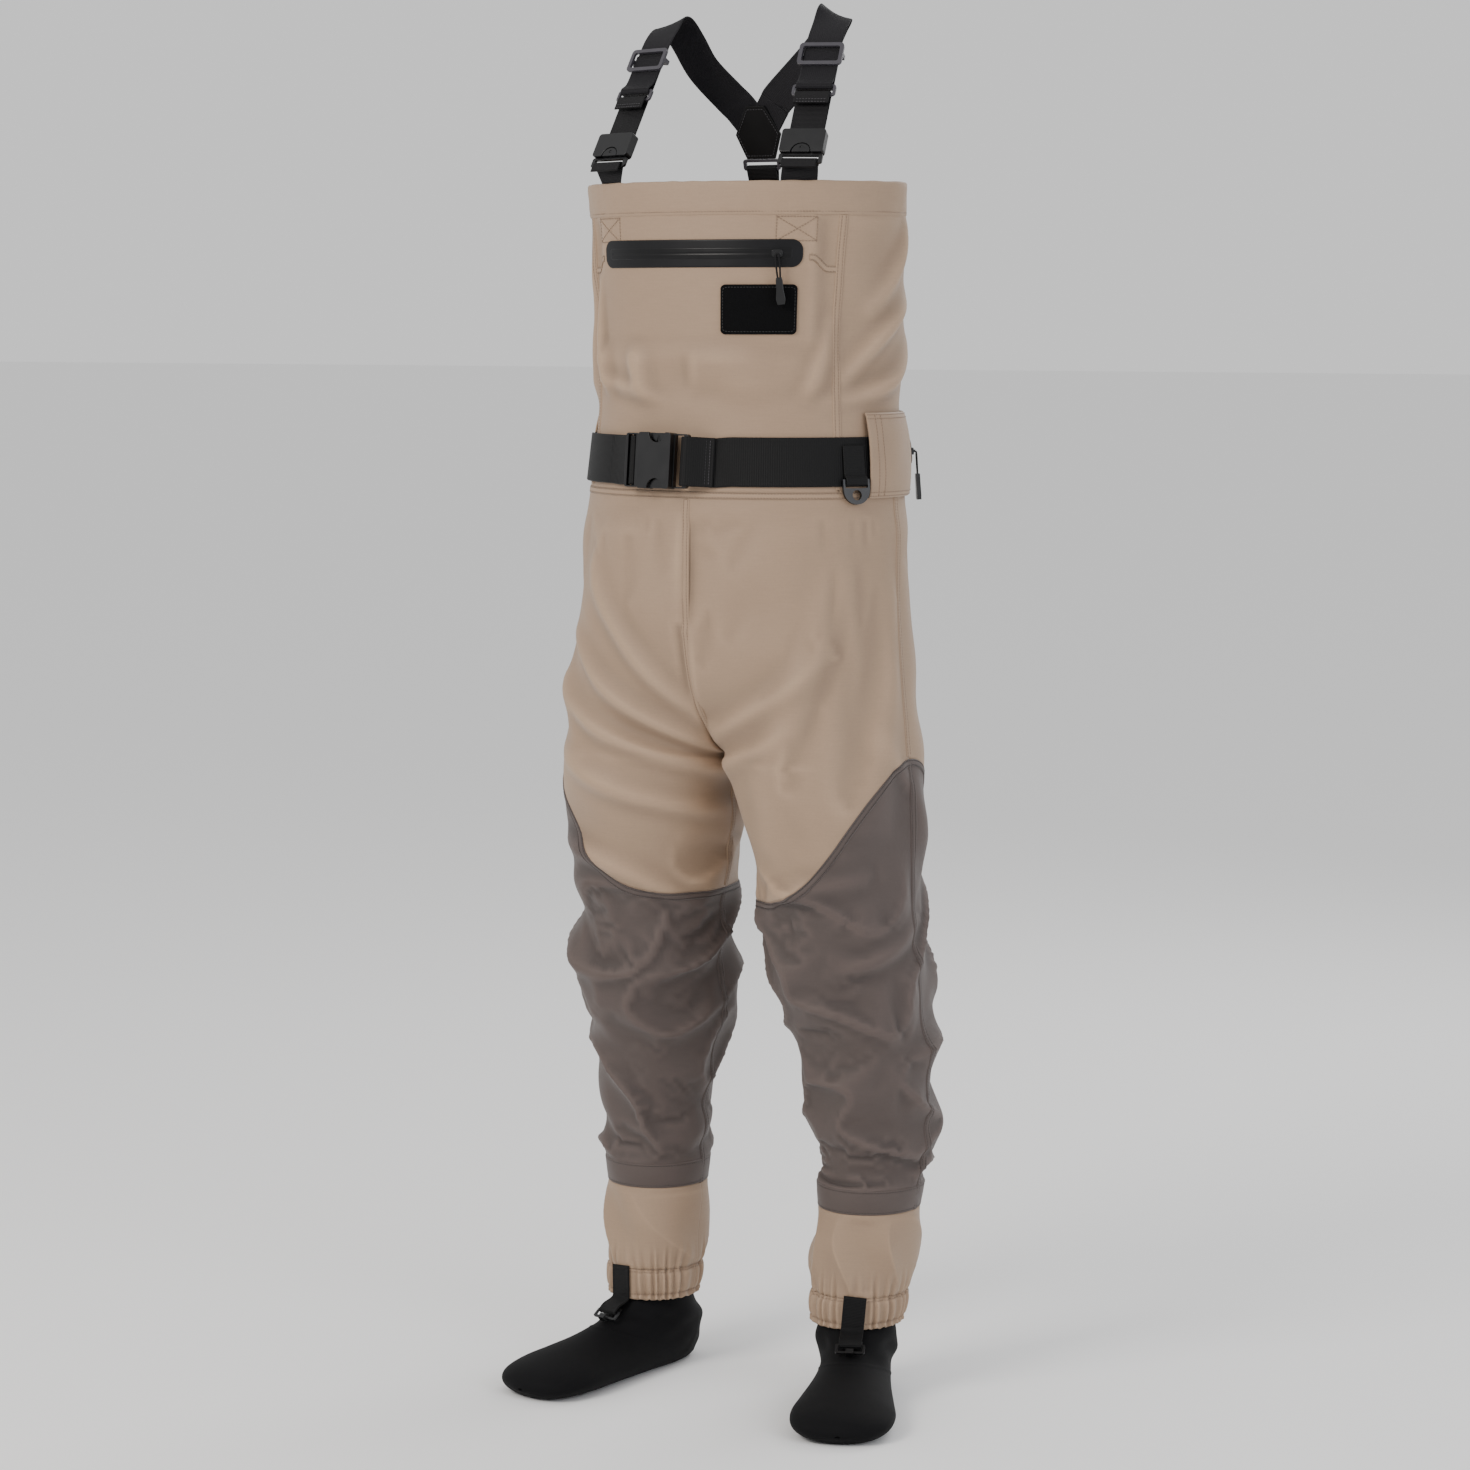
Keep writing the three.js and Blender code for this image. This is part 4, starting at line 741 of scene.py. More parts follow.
def thread_of(name, colour):
    """Bonded polyester thread: a twisted filament, so it is finely ridged and has a soft gloss."""
    material, tree, shader = blank(name)
    place_of = add(tree, "ShaderNodeTexCoord").outputs["Object"]
    twist = add(tree, "ShaderNodeTexNoise", {},
                {"Vector": place_of, "Scale": 1500.0, "Detail": 1.0}).outputs["Fac"]
    finish(tree, shader, linear(colour), twist, (0, 1), (0.8, 1.2), Roughness=0.45)
    return material


tan_thread = thread_of("tan_thread", "#7f6a58")
umber_thread = thread_of("umber_thread", "#372f2c")
black_thread = thread_of("black_thread", "#0f0f11")
grey_thread = thread_of("grey_thread", "#343236")


def double_seam(name, path, normals, material, slot, thread, wide=0.0085, high=0.0009):
    """A felled seam and its two rows of stitches."""
    seam_strip(name, path, normals, wide, high, material, slot)
    for offset in (-ROWS_APART, ROWS_APART):
        sew(thread, path, normals, offset, high * 0.9)


for side, hand in ((1, "left"), (-1, "right")):
    z = np.linspace(RIM_Z - 0.033, WAIST_SEAM_Z + 0.004, 90)
    t = -PRINCESS if side > 0 else -pi + PRINCESS
    double_seam(f"princess_seam_{hand}", *round_skin(t, z), tan_laminate, "tan_laminate", "tan")
    for label, u, top in (("inseam", 0.0, CROTCH_Z - 0.004), ("outseam", 0.5, WAIST_SEAM_Z - 0.004)):
        for tone, high, low, cloth in (
            ("tan", top, knee_seam(u) + 0.003, tan_laminate),
            ("umber", knee_seam(u) - 0.003, CUFF_Z, umber_laminate),
        ):
            z = np.linspace(high, low, max(int((high - low) / 0.004), 4))
            double_seam(f"{label}_{tone}_{hand}", *on_skin(side, u, z), cloth, f"{tone}_laminate", tone)
    u = np.linspace(0, 1, 180)
    path, normals = on_skin(side, u, knee_seam(u) - 0.0035)
    seam_strip(f"knee_seam_{hand}", path, normals, 0.0075, 0.0009, umber_laminate, "umber_laminate")
    for offset in (-ROWS_APART, ROWS_APART):
        sew("umber", path, normals, offset, 0.0008)
    path, normals = on_skin(side, u, CUFF_Z + 0.013)
    seam_strip(f"cuff_band_{hand}", path, normals, 0.026, 0.0010, umber_laminate, "umber_laminate", twin=0.0108)
    for offset in (-0.0108, 0.0108):
        sew("umber", path, normals, offset, 0.0008)

t = np.linspace(-pi, pi, 420)
path, normals = round_skin(t, WAIST_SEAM_Z - 0.002)
seam_strip("waist_seam", path, normals, 0.0075, 0.0008, tan_laminate, "tan_laminate")
for offset in (-0.002, 0.002):
    sew("tan", path, normals, offset, 0.0007)
for label, u in (("front", 0.0), ("back", 1.0)):
    z = np.linspace(WAIST_SEAM_Z - 0.007, CROTCH_Z + 0.004, 80)
    path, normals = on_skin(1, u, z)
    normals = normals * (0, 1, 1)
    normals /= np.linalg.norm(normals, axis=1, keepdims=True)
    path[:, 0] = 0
    double_seam(f"centre_{label}_seam", path, normals, tan_laminate, "tan_laminate", "tan")

# The rim's hem wraps over the top edge and is sewn 32 mm below it.
rim_angle = np.linspace(-pi, pi, 301)[:-1]
rim_profile = [(1.2320, 0.0), (1.2326, 0.0007), (1.2335, 0.0010), (1.2420, 0.0010), (1.2500, 0.0011),
               (1.2600, 0.0010), (1.2645, 0.0008), (1.2660, 0.0), (1.2664, -0.0010), (1.2660, -0.0021),
               (1.2645, -0.0028), (1.2500, -0.0029), (1.2330, -0.0026), (1.2322, -0.0016)]
rim_rows = []
for z, out in rim_profile:
    point, _ = round_skin(rim_angle, min(z, RIM_Z), out)
    point[:, 2] += max(z - RIM_Z, 0)
    rim_rows.append(point)
rim_grid = np.array(rim_rows)[::-1]
pucker = ripples(rim_grid, 0.02, 77) * 0.00022
rim_grid = rim_grid + outward(rim_grid) * pucker[..., None]
rim_uv = np.stack(np.broadcast_arrays(rim_angle * 0.145, np.array(rim_profile)[::-1, :1]), -1)
# A fixed fold level of 0.1 gives the hem a little less painted crease shade than flat cloth.
rim_fold = {"fold": np.full(rim_grid.shape[:2], 0.1)}
place("rim_hem", surface_mesh("rim_hem", rim_grid, rim_uv, rim_fold, closed=True), "garment", tan_laminate,
      "tan_laminate")
path, normals = round_skin(np.append(rim_angle, pi), 1.2355)
sew("tan", path, normals, 0, 0.0010)

for key, material, slot in (("tan", tan_thread, "tan_laminate"), ("umber", umber_thread, "umber_laminate")):
    place_stitches(f"{key}_stitching", key, "garment", material, slot)

# ---------------------------------------------------------------- chest pocket
# The pocket hangs inside the bib from a bonded film patch. A reverse coil zip lies under the film's two
# lips, so only a fine centre line shows; the slider carries a cord loop with a moulded tab.
ZIP_Z = 1.194
GAP = 0.0003
CHEST_RADIUS = 0.165


def coated(name, colour, rough, grain_mm, depth):
    """Thermoplastic film pressed on cloth: satin, with a leather-like pressed grain of that size."""
    material, tree, shader = blank(name)
    place_of = add(tree, "ShaderNodeTexCoord").outputs["Object"]
    cell = add(tree, "ShaderNodeTexVoronoi", {"feature": "SMOOTH_F1"},
               {"Vector": place_of, "Scale": 1000 / grain_mm}).outputs["Distance"]
    smear = add(tree, "ShaderNodeTexNoise", {},
                {"Vector": place_of, "Scale": 45.0, "Detail": 4.0}).outputs["Fac"]
    finish(tree, shader, linear(colour), smear, (0.25, 0.75), (0.8, 1.25), cell, 0.35, depth,
           (smear, rough, 0.09), IOR=1.5, Specular_IOR_Level=0.25)
    return material


coated_film = coated("satin_polyurethane_film", "#0b0b0e", 0.42, 0.7, 0.00006)


def patch(name, middle, half, radius, z, tall, corner, low, high, lips=0.0, lift=None):
    """A rounded patch laid on the torso: columns crowd to the ends by a sine, each column is as tall as
    the rounded corner leaves it, and the edge rolls down to the cloth; lips are two low welts that
    meet in a groove along the middle."""
    columns, rows = 120, 26
    a = half * np.sin(np.linspace(-0.5, 0.5, columns + 1) * pi)
    in_corner = 1 - np.clip((half - np.abs(a)) * radius / corner, 0, 1)
    reach = tall - corner + corner * np.maximum(np.sqrt(1 - in_corner**2), 0.08)
    v = np.sin(np.linspace(-0.5, 0.5, rows + 1) * pi)[:, None]
    height = z - v * reach
    edge = np.minimum((1 - np.abs(v)) * reach, (half - np.abs(a)) * radius)
    out = low + (high - low) * np.sqrt(np.clip(1 - (1 - np.clip(edge / 0.0011, 0, 1)) ** 2, 0, 1))
    from_line = np.abs(height - z)
    fade = ramp(edge, 0.002, 0.010)
    welt, groove = np.exp(-((from_line - 0.0034) / 0.0022) ** 2), np.exp(-(from_line / 0.0007) ** 2)
    out = out + fade * lips * (welt - 1.4 * groove)
    out = out + (lift(height) if lift else 0)
    points = torso(middle + a, height, out)
    uv = np.stack(np.broadcast_arrays(a * radius, height), -1)
    return surface_mesh(name, points, uv, {"fold": np.zeros(points.shape[:2])})


thin_wall = (("SOLIDIFY", {"thickness": 0.0004, "offset": -1.0}),)
ZIP_HALF = radians(41.5)
place("chest_zip_surround",
      patch("chest_zip_surround", -pi / 2, ZIP_HALF, CHEST_RADIUS, ZIP_Z, 0.014, 0.012, 0.0003, 0.0014),
      "garment", coated_film, "coated_film", ("chest_zip_surround",), thin_wall)
coil_film = coated("zip_lip_film", "#09090b", 0.34, 0.5, 0.00004)
place("chest_zip_coil",
      patch("chest_zip_coil", -pi / 2, ZIP_HALF - radians(4), CHEST_RADIUS, ZIP_Z, 0.0056, 0.003, 0.0012,
            0.0018, 0.0006),
      "garment", coil_film, "coated_film", ("chest_zip_coil",), thin_wall)

# Pocket bag: a flat bag of the same laminate, hanging behind the zip.
BAG_HALF = radians(40)
share, drop = np.meshgrid(np.linspace(0, 1, 61), np.linspace(0, 1, 45))
bag_angle = -pi / 2 + (2 * share - 1) * BAG_HALF
bag_z = ZIP_Z + 0.012 - drop * 0.150
bag_out = -0.0044 - 0.0024 * np.sin(pi * share) * np.sin(pi * drop)
bag_points = torso(bag_angle, bag_z, bag_out)
place("chest_pocket_bag",
      surface_mesh("chest_pocket_bag", bag_points, np.stack([bag_angle * CHEST_RADIUS, bag_z], -1),
                   {"fold": np.zeros(bag_z.shape)}),
      "garment", tan_laminate, "tan_laminate", ("chest_pocket_bag",), thin_wall)

# Short seams run from the patch's ends to the princess seams.
for side, hand in ((1, "left"), (-1, "right")):
    u = np.linspace(0.245, PRINCESS_U - 0.008, 24)
    path, normals = on_skin(side, u, ZIP_Z - 0.004 - 0.012 * ramp(u, 0.25, 0.29))
    double_seam(f"pocket_seam_{hand}", path, normals, tan_laminate, "tan_laminate", "tan", 0.0055, 0.0006)


def frame_on_torso(t, z, out):
    """Origin and directions (rows) standing on the torso: level along the cloth, up it and out of it."""
    x = torso(t + 0.01, z, out) - torso(t - 0.01, z, out)
    n = np.cross(x, torso(t, z + 0.005, out) - torso(t, z - 0.005, out))
    x, n = x / np.linalg.norm(x), n / np.linalg.norm(n)
    return torso(t, z, out), np.array([x, np.cross(n, x), n])


def in_frame(where, points):
    """Points given in a frame, carried to where it stands."""
    return where[0] + np.asarray(points, float) @ where[1]


def moulded(name, colour, rough):
    """Injection-moulded acetal: an even spark-eroded texture of about a millimetre, satin, with flat
    spots a little glossier where hands and webbing rub."""
    material, tree, shader = blank(name)
    place_of = add(tree, "ShaderNodeTexCoord").outputs["Object"]
    spark = add(tree, "ShaderNodeTexNoise", {},
                {"Vector": place_of, "Scale": 900.0, "Detail": 2.0}).outputs["Fac"]
    rub = add(tree, "ShaderNodeTexNoise", {},
              {"Vector": place_of, "Scale": 70.0, "Detail": 4.0}).outputs["Fac"]
    finish(tree, shader, linear(colour), rub, (0, 1), (0.82, 1.18), spark, 0.3, 0.00005, (rub, rough, 0.1),
           IOR=1.48)
    return material


black_acetal = moulded("black_acetal", "#0b0b0d", 0.32)
grey_acetal = moulded("grey_acetal", "#3d3b41", 0.34)


def dress(node, material, edge=0.0004):
    """Keeps a CAD node as it is and gives it its finish and rounded edges, as a mould leaves them."""
    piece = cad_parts[node]
    piece.data.materials.clear()
    piece.data.materials.append(material)
    piece.data.shade_flat()
    weld = piece.modifiers.new("weld", "WELD")
    weld.merge_threshold = 0.00001
    if edge:
        bevel = piece.modifiers.new("edges", "BEVEL")
        bevel.width = edge
        bevel.segments = 2
        bevel.limit_method = "ANGLE"
        bevel.angle_limit = radians(35)
        bevel.use_clamp_overlap = True


dress("chest_zip_slider", black_acetal, 0.0003)
dress("chest_pull_tab", black_acetal, 0.0007)


def cubic(points, times):
    """Catmull-Rom cubic through points, with times as many steps."""
    g = np.asarray(points, float)
    n = len(g) - 1
    s = np.linspace(0, n, n * times + 1)
    k = np.minimum(s.astype(int), n - 1)
    f = (s - k)[:, None]
    padded = np.concatenate([2 * g[:1] - g[1:2], g, 2 * g[-1:] - g[-2:-1]])
    a, b, c, d = padded[k], padded[k + 1], padded[k + 2], padded[k + 3]
    return b + 0.5 * f * (c - a + f * (2 * a - 5 * b + 4 * c - d + f * (3 * (b - c) + d - a)))


def tube_mesh(name, path, radius, sides=12):
    """A round cord along a path: circles of that radius square to it, turned as little as can be."""
    tangent = unit(np.gradient(path, axis=0))
    first = unit(np.cross(tangent, (0.35, -0.9, 0.25)))
    second = np.cross(tangent, first)
    a = np.arange(sides + 1) * 2 * pi / sides
    grid = path[None] + radius * (np.cos(a)[:, None, None] * first + np.sin(a)[:, None, None] * second)
    uv = np.stack(np.broadcast_arrays(run_of(path)[None], (a * radius)[:, None]), -1)
    return surface_mesh(name, grid, uv)


def webbing(name, colour, rough, rib_mm, warp_mm, depth, pale=1.25):
    """Woven nylon strap: cross ribs that far apart and lengthwise yarns that far apart, drawn in the
    strap's own lengths; the colour is painted paler on the yarns' crowns and darker between them, as painted
    highlight and shade."""
    material, tree, shader = blank(name)
    uv = add(tree, "ShaderNodeUVMap", {"uv_map": "cloth"}).outputs["UV"]
    rib, warp = [
        add(tree, "ShaderNodeTexWave", {"bands_direction": way}, {
            "Vector": uv, "Scale": 314.0 / mm, "Distortion": 0.5, "Detail": 1.0}).outputs["Fac"]
        for way, mm in (("X", rib_mm), ("Y", warp_mm))
    ]
    fuzz = add(tree, "ShaderNodeTexNoise", {},
               {"Vector": uv, "Scale": 1400.0, "Detail": 2.0}).outputs["Fac"]
    yarn = add(tree, "ShaderNodeMath", {"operation": "MULTIPLY_ADD"}, {0: warp, 1: 0.5, 2: rib}).outputs[0]
    height = add(tree, "ShaderNodeMath", {"operation": "MULTIPLY_ADD"}, {0: fuzz, 1: 0.5, 2: yarn}).outputs[0]
    # Painted highlight and shade: the colour runs from 0.62 in the hollows to pale on the yarns' crowns.
    finish(tree, shader, linear(colour), height, (0, 1.8), (0.62, pale), height, 0.7, depth,
           Roughness=rough, Sheen_Weight=0.02, Specular_IOR_Level=0.18, IOR=1.53)
    return material


cord_weave = webbing("braided_polyester_cord", "#0e0d0f", 0.6, 1.2, 0.9, 0.00015)
chest_slider = frame_on_torso(-pi / 2 + radians(32), ZIP_Z, 0.0006 + 0.0011 + 0.0009 + 0.0003)
lean = radians(5)
chest_hang = (chest_slider[0], np.array([
    cos(lean) * chest_slider[1][0] + sin(lean) * chest_slider[1][1],
    -sin(lean) * chest_slider[1][0] + cos(lean) * chest_slider[1][1],
    chest_slider[1][2],
]))
CORD_LOOP = np.array([(-1.3, -25, 5.6), (-1.7, -18, 5.6), (-1.8, -12, 5.6), (-1.6, -3, 5.6), (0, -0.6, 5.6),
                      (1.6, -3, 5.6), (1.8, -12, 5.6), (1.7, -18, 5.6), (1.3, -25, 5.6)]) / 1000
place("chest_pull_cord", tube_mesh("chest_pull_cord", in_frame(chest_hang, cubic(CORD_LOOP, 8)), 0.00095),
      "chest_pull", cord_weave, "webbing", ("chest_pull_cord",))

# Badge patch: black hook-and-loop pile with a sewn border.
def pile(name, colour):
    """Brushed loop pile: no gloss, thousands of tiny curls that break the light up."""
    material, tree, shader = blank(name)
    place_of = add(tree, "ShaderNodeTexCoord").outputs["Object"]
    curl = add(tree, "ShaderNodeTexVoronoi", {}, {"Vector": place_of, "Scale": 900.0}).outputs["Distance"]
    tuft = add(tree, "ShaderNodeTexNoise", {},
               {"Vector": place_of, "Scale": 260.0, "Detail": 4.0}).outputs["Fac"]
    height = add(tree, "ShaderNodeMath", {"operation": "ADD"}, {0: curl, 1: tuft}).outputs[0]
    finish(tree, shader, linear(colour), height, (0.3, 1.3), (0.5, 1.5), height, 0.8, 0.0005,
           Roughness=0.95, Sheen_Weight=0.02, Specular_IOR_Level=0.12)
    return material


loop_pile = pile("black_loop_pile", "#050506")
BADGE = {"middle": radians(-64), "half": 0.040 / CHEST_RADIUS, "z": 1.138, "tall": 0.025}
place("badge_patch",
      patch("badge_patch", BADGE["middle"], BADGE["half"], CHEST_RADIUS, BADGE["z"], BADGE["tall"], 0.005,
            0.0004, 0.0024),
      "garment", loop_pile, "loop_pile", ("badge_patch",), thin_wall)
around = np.linspace(0, 2 * pi, 241)
corner_x = np.sign(np.cos(around)) * np.abs(np.cos(around)) ** 0.12 * (0.040 - 0.0028)
corner_z = np.sign(np.sin(around)) * np.abs(np.sin(around)) ** 0.12 * (0.025 - 0.0028)
border = torso(BADGE["middle"] + corner_x / CHEST_RADIUS, BADGE["z"] + corner_z, 0.0024)
border_out = border - torso(BADGE["middle"] + corner_x / CHEST_RADIUS, BADGE["z"] + corner_z, 0.0014)
sew("black", border, border_out / np.linalg.norm(border_out, axis=1, keepdims=True))

# Box stitching holds the suspender tabs inside the rim.
TAB_ANGLE = -acos(0.112 / 0.178)
for middle in (TAB_ANGLE, -pi - TAB_ANGLE):
    half_wide, top, low = 0.0165 / 0.125, 1.2305, 1.2065
    for (a, za), (b, zb) in (((-1, top), (1, top)), ((1, top), (1, low)), ((1, low), (-1, low)),
                             ((-1, low), (-1, top)), ((-1, top), (1, low)), ((-1, low), (1, top))):
        s = np.linspace(0, 1, 24)
        path, normals = round_skin(middle + half_wide * (a + (b - a) * s), za + (zb - za) * s)
        sew("tan", path, normals, 0, 0.0004)
place_stitches("bib_stitching", "tan", "garment", tan_thread, "tan_laminate")
place_stitches("badge_stitching", "black", "garment", black_thread, "loop_pile")

# ---------------------------------------------------------------- belt
# 50 mm nylon webbing, finely ribbed. One end folds round the buckle socket's bar and is stitched down;
# the other is threaded through the plug and its tail lies back along the belt. The side-release buckle
# is moulded acetal.
BELT_LOW, BELT_HIGH, BELT_THICK = 0.960, 1.010, 0.0022
BELT_MID = (BELT_LOW + BELT_HIGH) / 2
BELT_OUT = 0.001 + BELT_THICK
BELT_RADIUS = 0.170
BUCKLE_ANGLE = -acos(-0.028 / BELT_RADIUS)


def ribbon_mesh(name, points, wide, width, thickness, bead=0.12):
    """Flat webbing along points: wide is the direction of its width at each. Its section is a flattened
    loop with round edges and a slightly thicker selvedge; uv is metres along and across."""
    tangent = unit(np.gradient(points, axis=0))
    across = unit(wide - (wide * tangent).sum(1, keepdims=True) * tangent)
    normal = np.cross(across, tangent)
    half, deep = width / 2, thickness / 2
    face = np.array([1, 0.97, 0.93, 0.9, 0.55, 0.2, -0.2, -0.55, -0.9, -0.93, -0.97, -1])
    swell = np.array([0.35, 0.92, 1 + bead, 1, 1, 1, 1, 1, 1, 1 + bead, 0.92, 0.35])
    section = np.concatenate([np.stack([face * half, swell * deep], 1),
                              np.stack([-face * half, -swell * deep], 1)])
    section = np.concatenate([section, section[:1]])
    grid = (points[None] + section[:, 0, None, None] * across[None] + section[:, 1, None, None] * normal[None])
    uv = np.stack(np.broadcast_arrays(run_of(points)[None], section[:, :1]), -1)
    mesh = surface_mesh(name, grid, uv)
    last, count = len(section), len(points)
    ends = [[i * count for i in range(last - 1)][::-1], [i * count + count - 1 for i in range(last - 1)]]
    solid = bmesh.new()
    solid.from_mesh(mesh)
    solid.verts.ensure_lookup_table()
    for loop in ends:
        solid.faces.new([solid.verts[i] for i in loop])
    bmesh.ops.remove_doubles(solid, verts=solid.verts, dist=1e-7)
    bmesh.ops.recalc_face_normals(solid, faces=solid.faces)
    solid.to_mesh(mesh)
    solid.free()
    return mesh


def strap(name, path, wide, width, thickness, body, material, slot="webbing"):
    """Webbing along a smooth path through the given points and width directions, which stands for the
    CAD node of its name."""
    points, across = cubic(path, 6), cubic(np.broadcast_to(wide, np.shape(path)), 6)
    place(name, ribbon_mesh(name, points, across, width, thickness), body, material, slot, (name,))


belt_webbing = webbing("ribbed_nylon_belt", "#09090a", 0.58, 2.3, 1.3, 0.00035)
buckle = frame_on_torso(BUCKLE_ANGLE, BELT_MID, BELT_OUT + 0.0036)
belt_tilt = torso(BUCKLE_ANGLE, BELT_HIGH) - torso(BUCKLE_ANGLE, BELT_LOW)


def at_buckle(line):
    """Points of webbing at the buckle given as (along, out) in millimetres."""
    return in_frame(buckle, np.array([(x, 0, z) for x, z in line]) / 1000)


def belt_angle(along):
    """Angle round the torso that far along the belt from the buckle."""
    return BUCKLE_ANGLE + along / BELT_RADIUS


def arc(x, z, radius, start, end, steps):
    """Points of an arc in millimetres, from start to end degrees."""
    a = np.radians(np.linspace(start, end, steps + 1))
    return [(x + radius * cos(v), z + radius * sin(v)) for v in a]


def laid(t, out):
    """Middle line of webbing laid round the torso at the belt's height, and the direction of its width."""
    return torso(t, BELT_MID, out), torso(t, BELT_HIGH) - torso(t, BELT_LOW)


fold = arc(35.25, 3.5, 3.717 + 0.6 + 1.1, 70, 285, 10)
near = at_buckle([(60, -9.6), (54, -6.2), (48, -1.2), (42.5, 4), *fold, (47, -4.8), (54, -9.4), (61, -12.9)])
far, far_wide = laid(np.linspace(belt_angle(0.076), belt_angle(-0.0526) + 2 * pi, 70), 0.001 + BELT_THICK / 2)
belt_path = np.concatenate([near, far])
belt_wide = np.concatenate([np.broadcast_to(belt_tilt, near.shape), far_wide])
strap("belt_webbing", belt_path, belt_wide, BELT_HIGH - BELT_LOW, BELT_THICK, "garment", belt_webbing)
tail, tail_wide = laid(np.linspace(radians(-157), belt_angle(-0.072), 16), BELT_OUT + GAP + BELT_THICK / 2)
threaded = at_buckle([(-58, -8.4), (-47, -3.2), (-40, -0.2), (-35.4, 1), (-33.6, 3.2),
                      *arc(-30.4, 5.6, 3.2, 180, 0, 5), (-27.2, 2.6)])
strap("belt_tail", np.concatenate([tail, threaded]),
      np.concatenate([tail_wide, np.broadcast_to(belt_tilt, threaded.shape)]),
      BELT_HIGH - BELT_LOW, BELT_THICK, "belt_plug", belt_webbing)
for node in ("belt_buckle_socket", "belt_buckle_plug", "belt_prong_upper", "belt_prong_lower"):
    dress(node, black_acetal, 0.0006)

# Two rows of stitches across the belt hold its fold.
for along in (53.0, 56.5):
    y = np.linspace(-0.0225, 0.0225, 30)
    x, z = np.full(30, along / 1000), np.full(30, -0.0046 - (along - 53) * 0.00058)
    line = in_frame(buckle, np.stack([x, y, z], 1))
    sew("black", line, np.broadcast_to(buckle[1][2], line.shape), 0, 0.0001, 0.0030, 0.0024, 0.0004)
place_stitches("belt_stitching", "black", "garment", grey_thread, "webbing")

# D-ring on a short loop of webbing that hangs from the belt.
d_frame = frame_on_torso(radians(-27), 0.966, BELT_OUT + 0.0026)
d_line = np.array([(0, y, z) for y, z in ((36, -1.1), (30, -0.9), (12, -0.7), (5, 0.1), (3.4, 2.4), (0, 3.5),
                                          (-3.4, 2.4), (-4.2, 0), (-3.5, -1))]) / 1000
strap("d_ring_tab", in_frame(d_frame, d_line), d_frame[1][0], 0.024, 0.0016, "garment", belt_webbing)
dress("d_ring", black_acetal, 0.0007)

# ---------------------------------------------------------------- belt tunnel and rear pocket zip
# A wide loop of the tan laminate is sewn round the back of the waist along its two long edges; the belt
# runs through it. A second bonded zip lies on its left side.
TUNNEL_LOW, TUNNEL_HIGH, TUNNEL_FROM, TUNNEL_TO = 0.948, 1.034, radians(-20), radians(188)


def tunnel_lift(z):
    """How far the tunnel stands off the cloth: the root of a half sine wave across its width."""
    s = np.clip((z - TUNNEL_LOW) / (TUNNEL_HIGH - TUNNEL_LOW), 0, 1)
    return 0.006 * np.sqrt(np.sin(pi * s))


tunnel_s = (1 - np.cos(np.linspace(0, pi, 31))) / 2
tunnel_z = (TUNNEL_HIGH - tunnel_s * (TUNNEL_HIGH - TUNNEL_LOW))[:, None]
tunnel_t = np.linspace(TUNNEL_FROM, TUNNEL_TO, 181)
tunnel = torso(tunnel_t, tunnel_z, 0.0032 + tunnel_lift(tunnel_z))
flat_zip = 1 - ramp(np.abs(tunnel_t - radians(54)), radians(30), radians(36))
slackness = np.sin(pi * tunnel_s)[:, None] * (1 - 0.9 * flat_zip)
tunnel = tunnel + outward(tunnel) * (0.0007 * slackness * ripples(tunnel * (1, 1, 0.6), 0.045, 41))[..., None]
edge_fold = np.exp(-((np.minimum(tunnel_z - TUNNEL_LOW, TUNNEL_HIGH - tunnel_z) - 0.004) / 0.003) ** 2)
tunnel = tunnel + outward(tunnel) * (0.0003 * edge_fold)[..., None]
place("belt_tunnel",
      surface_mesh("belt_tunnel", tunnel, np.stack(np.broadcast_arrays(tunnel_t * 0.15, tunnel_z), -1),
                   {"fold": crease_of(tunnel)}),
      "garment", tan_laminate, "tan_laminate", ("belt_tunnel",), shell_wall)
tunnel_out = outward(tunnel)
for row in (3, 5, -6, -4):
    sew("tan", tunnel[row], tunnel_out[row], 0, 0.0002)
for column in (4, 7, -8, -5):
    sew("tan", tunnel[3:-3, column], tunnel_out[3:-3, column], 0, 0.0002)
place_stitches("tunnel_stitching", "tan", "garment", tan_thread, "tan_laminate")
place("rear_zip_surround",
      patch("rear_zip_surround", radians(54), radians(31), 0.160, 0.992, 0.013, 0.011, 0.0035, 0.0046, 0.0005,
            tunnel_lift),
      "garment", coated_film, "coated_film", ("rear_zip_surround",), thin_wall)
dress("rear_zip_slider", black_acetal, 0.0003)
dress("rear_zip_pull", black_acetal, 0.0003)

# ---------------------------------------------------------------- gravel guards
# Cuffs of the tan laminate, sewn in at the leg's cuff seam and gathered at the bottom by elastic in a
# narrow casing, so the cloth puffs out between and the hem is finely ruffled.
HEM_TOP_Z, HEM_LOW_Z = 0.112, 0.080
FOOT_TURN = {1: radians(22), -1: radians(13)}


def ankle(z):
    """Middle of the left leg's ring at height z."""
    return np.stack(np.broadcast_arrays(girth(LEG, 1, z), BODY_Y + girth(LEG, 2, z), 0 * z), -1)


def tab_share(side):
    """Where the boot hook's tab lies round the leg, as a share u: the foot's forward direction."""
    turn = FOOT_TURN[side]
    return np.arctan2(cos(turn) / 0.050, -sin(turn) / 0.048) / (2 * pi)


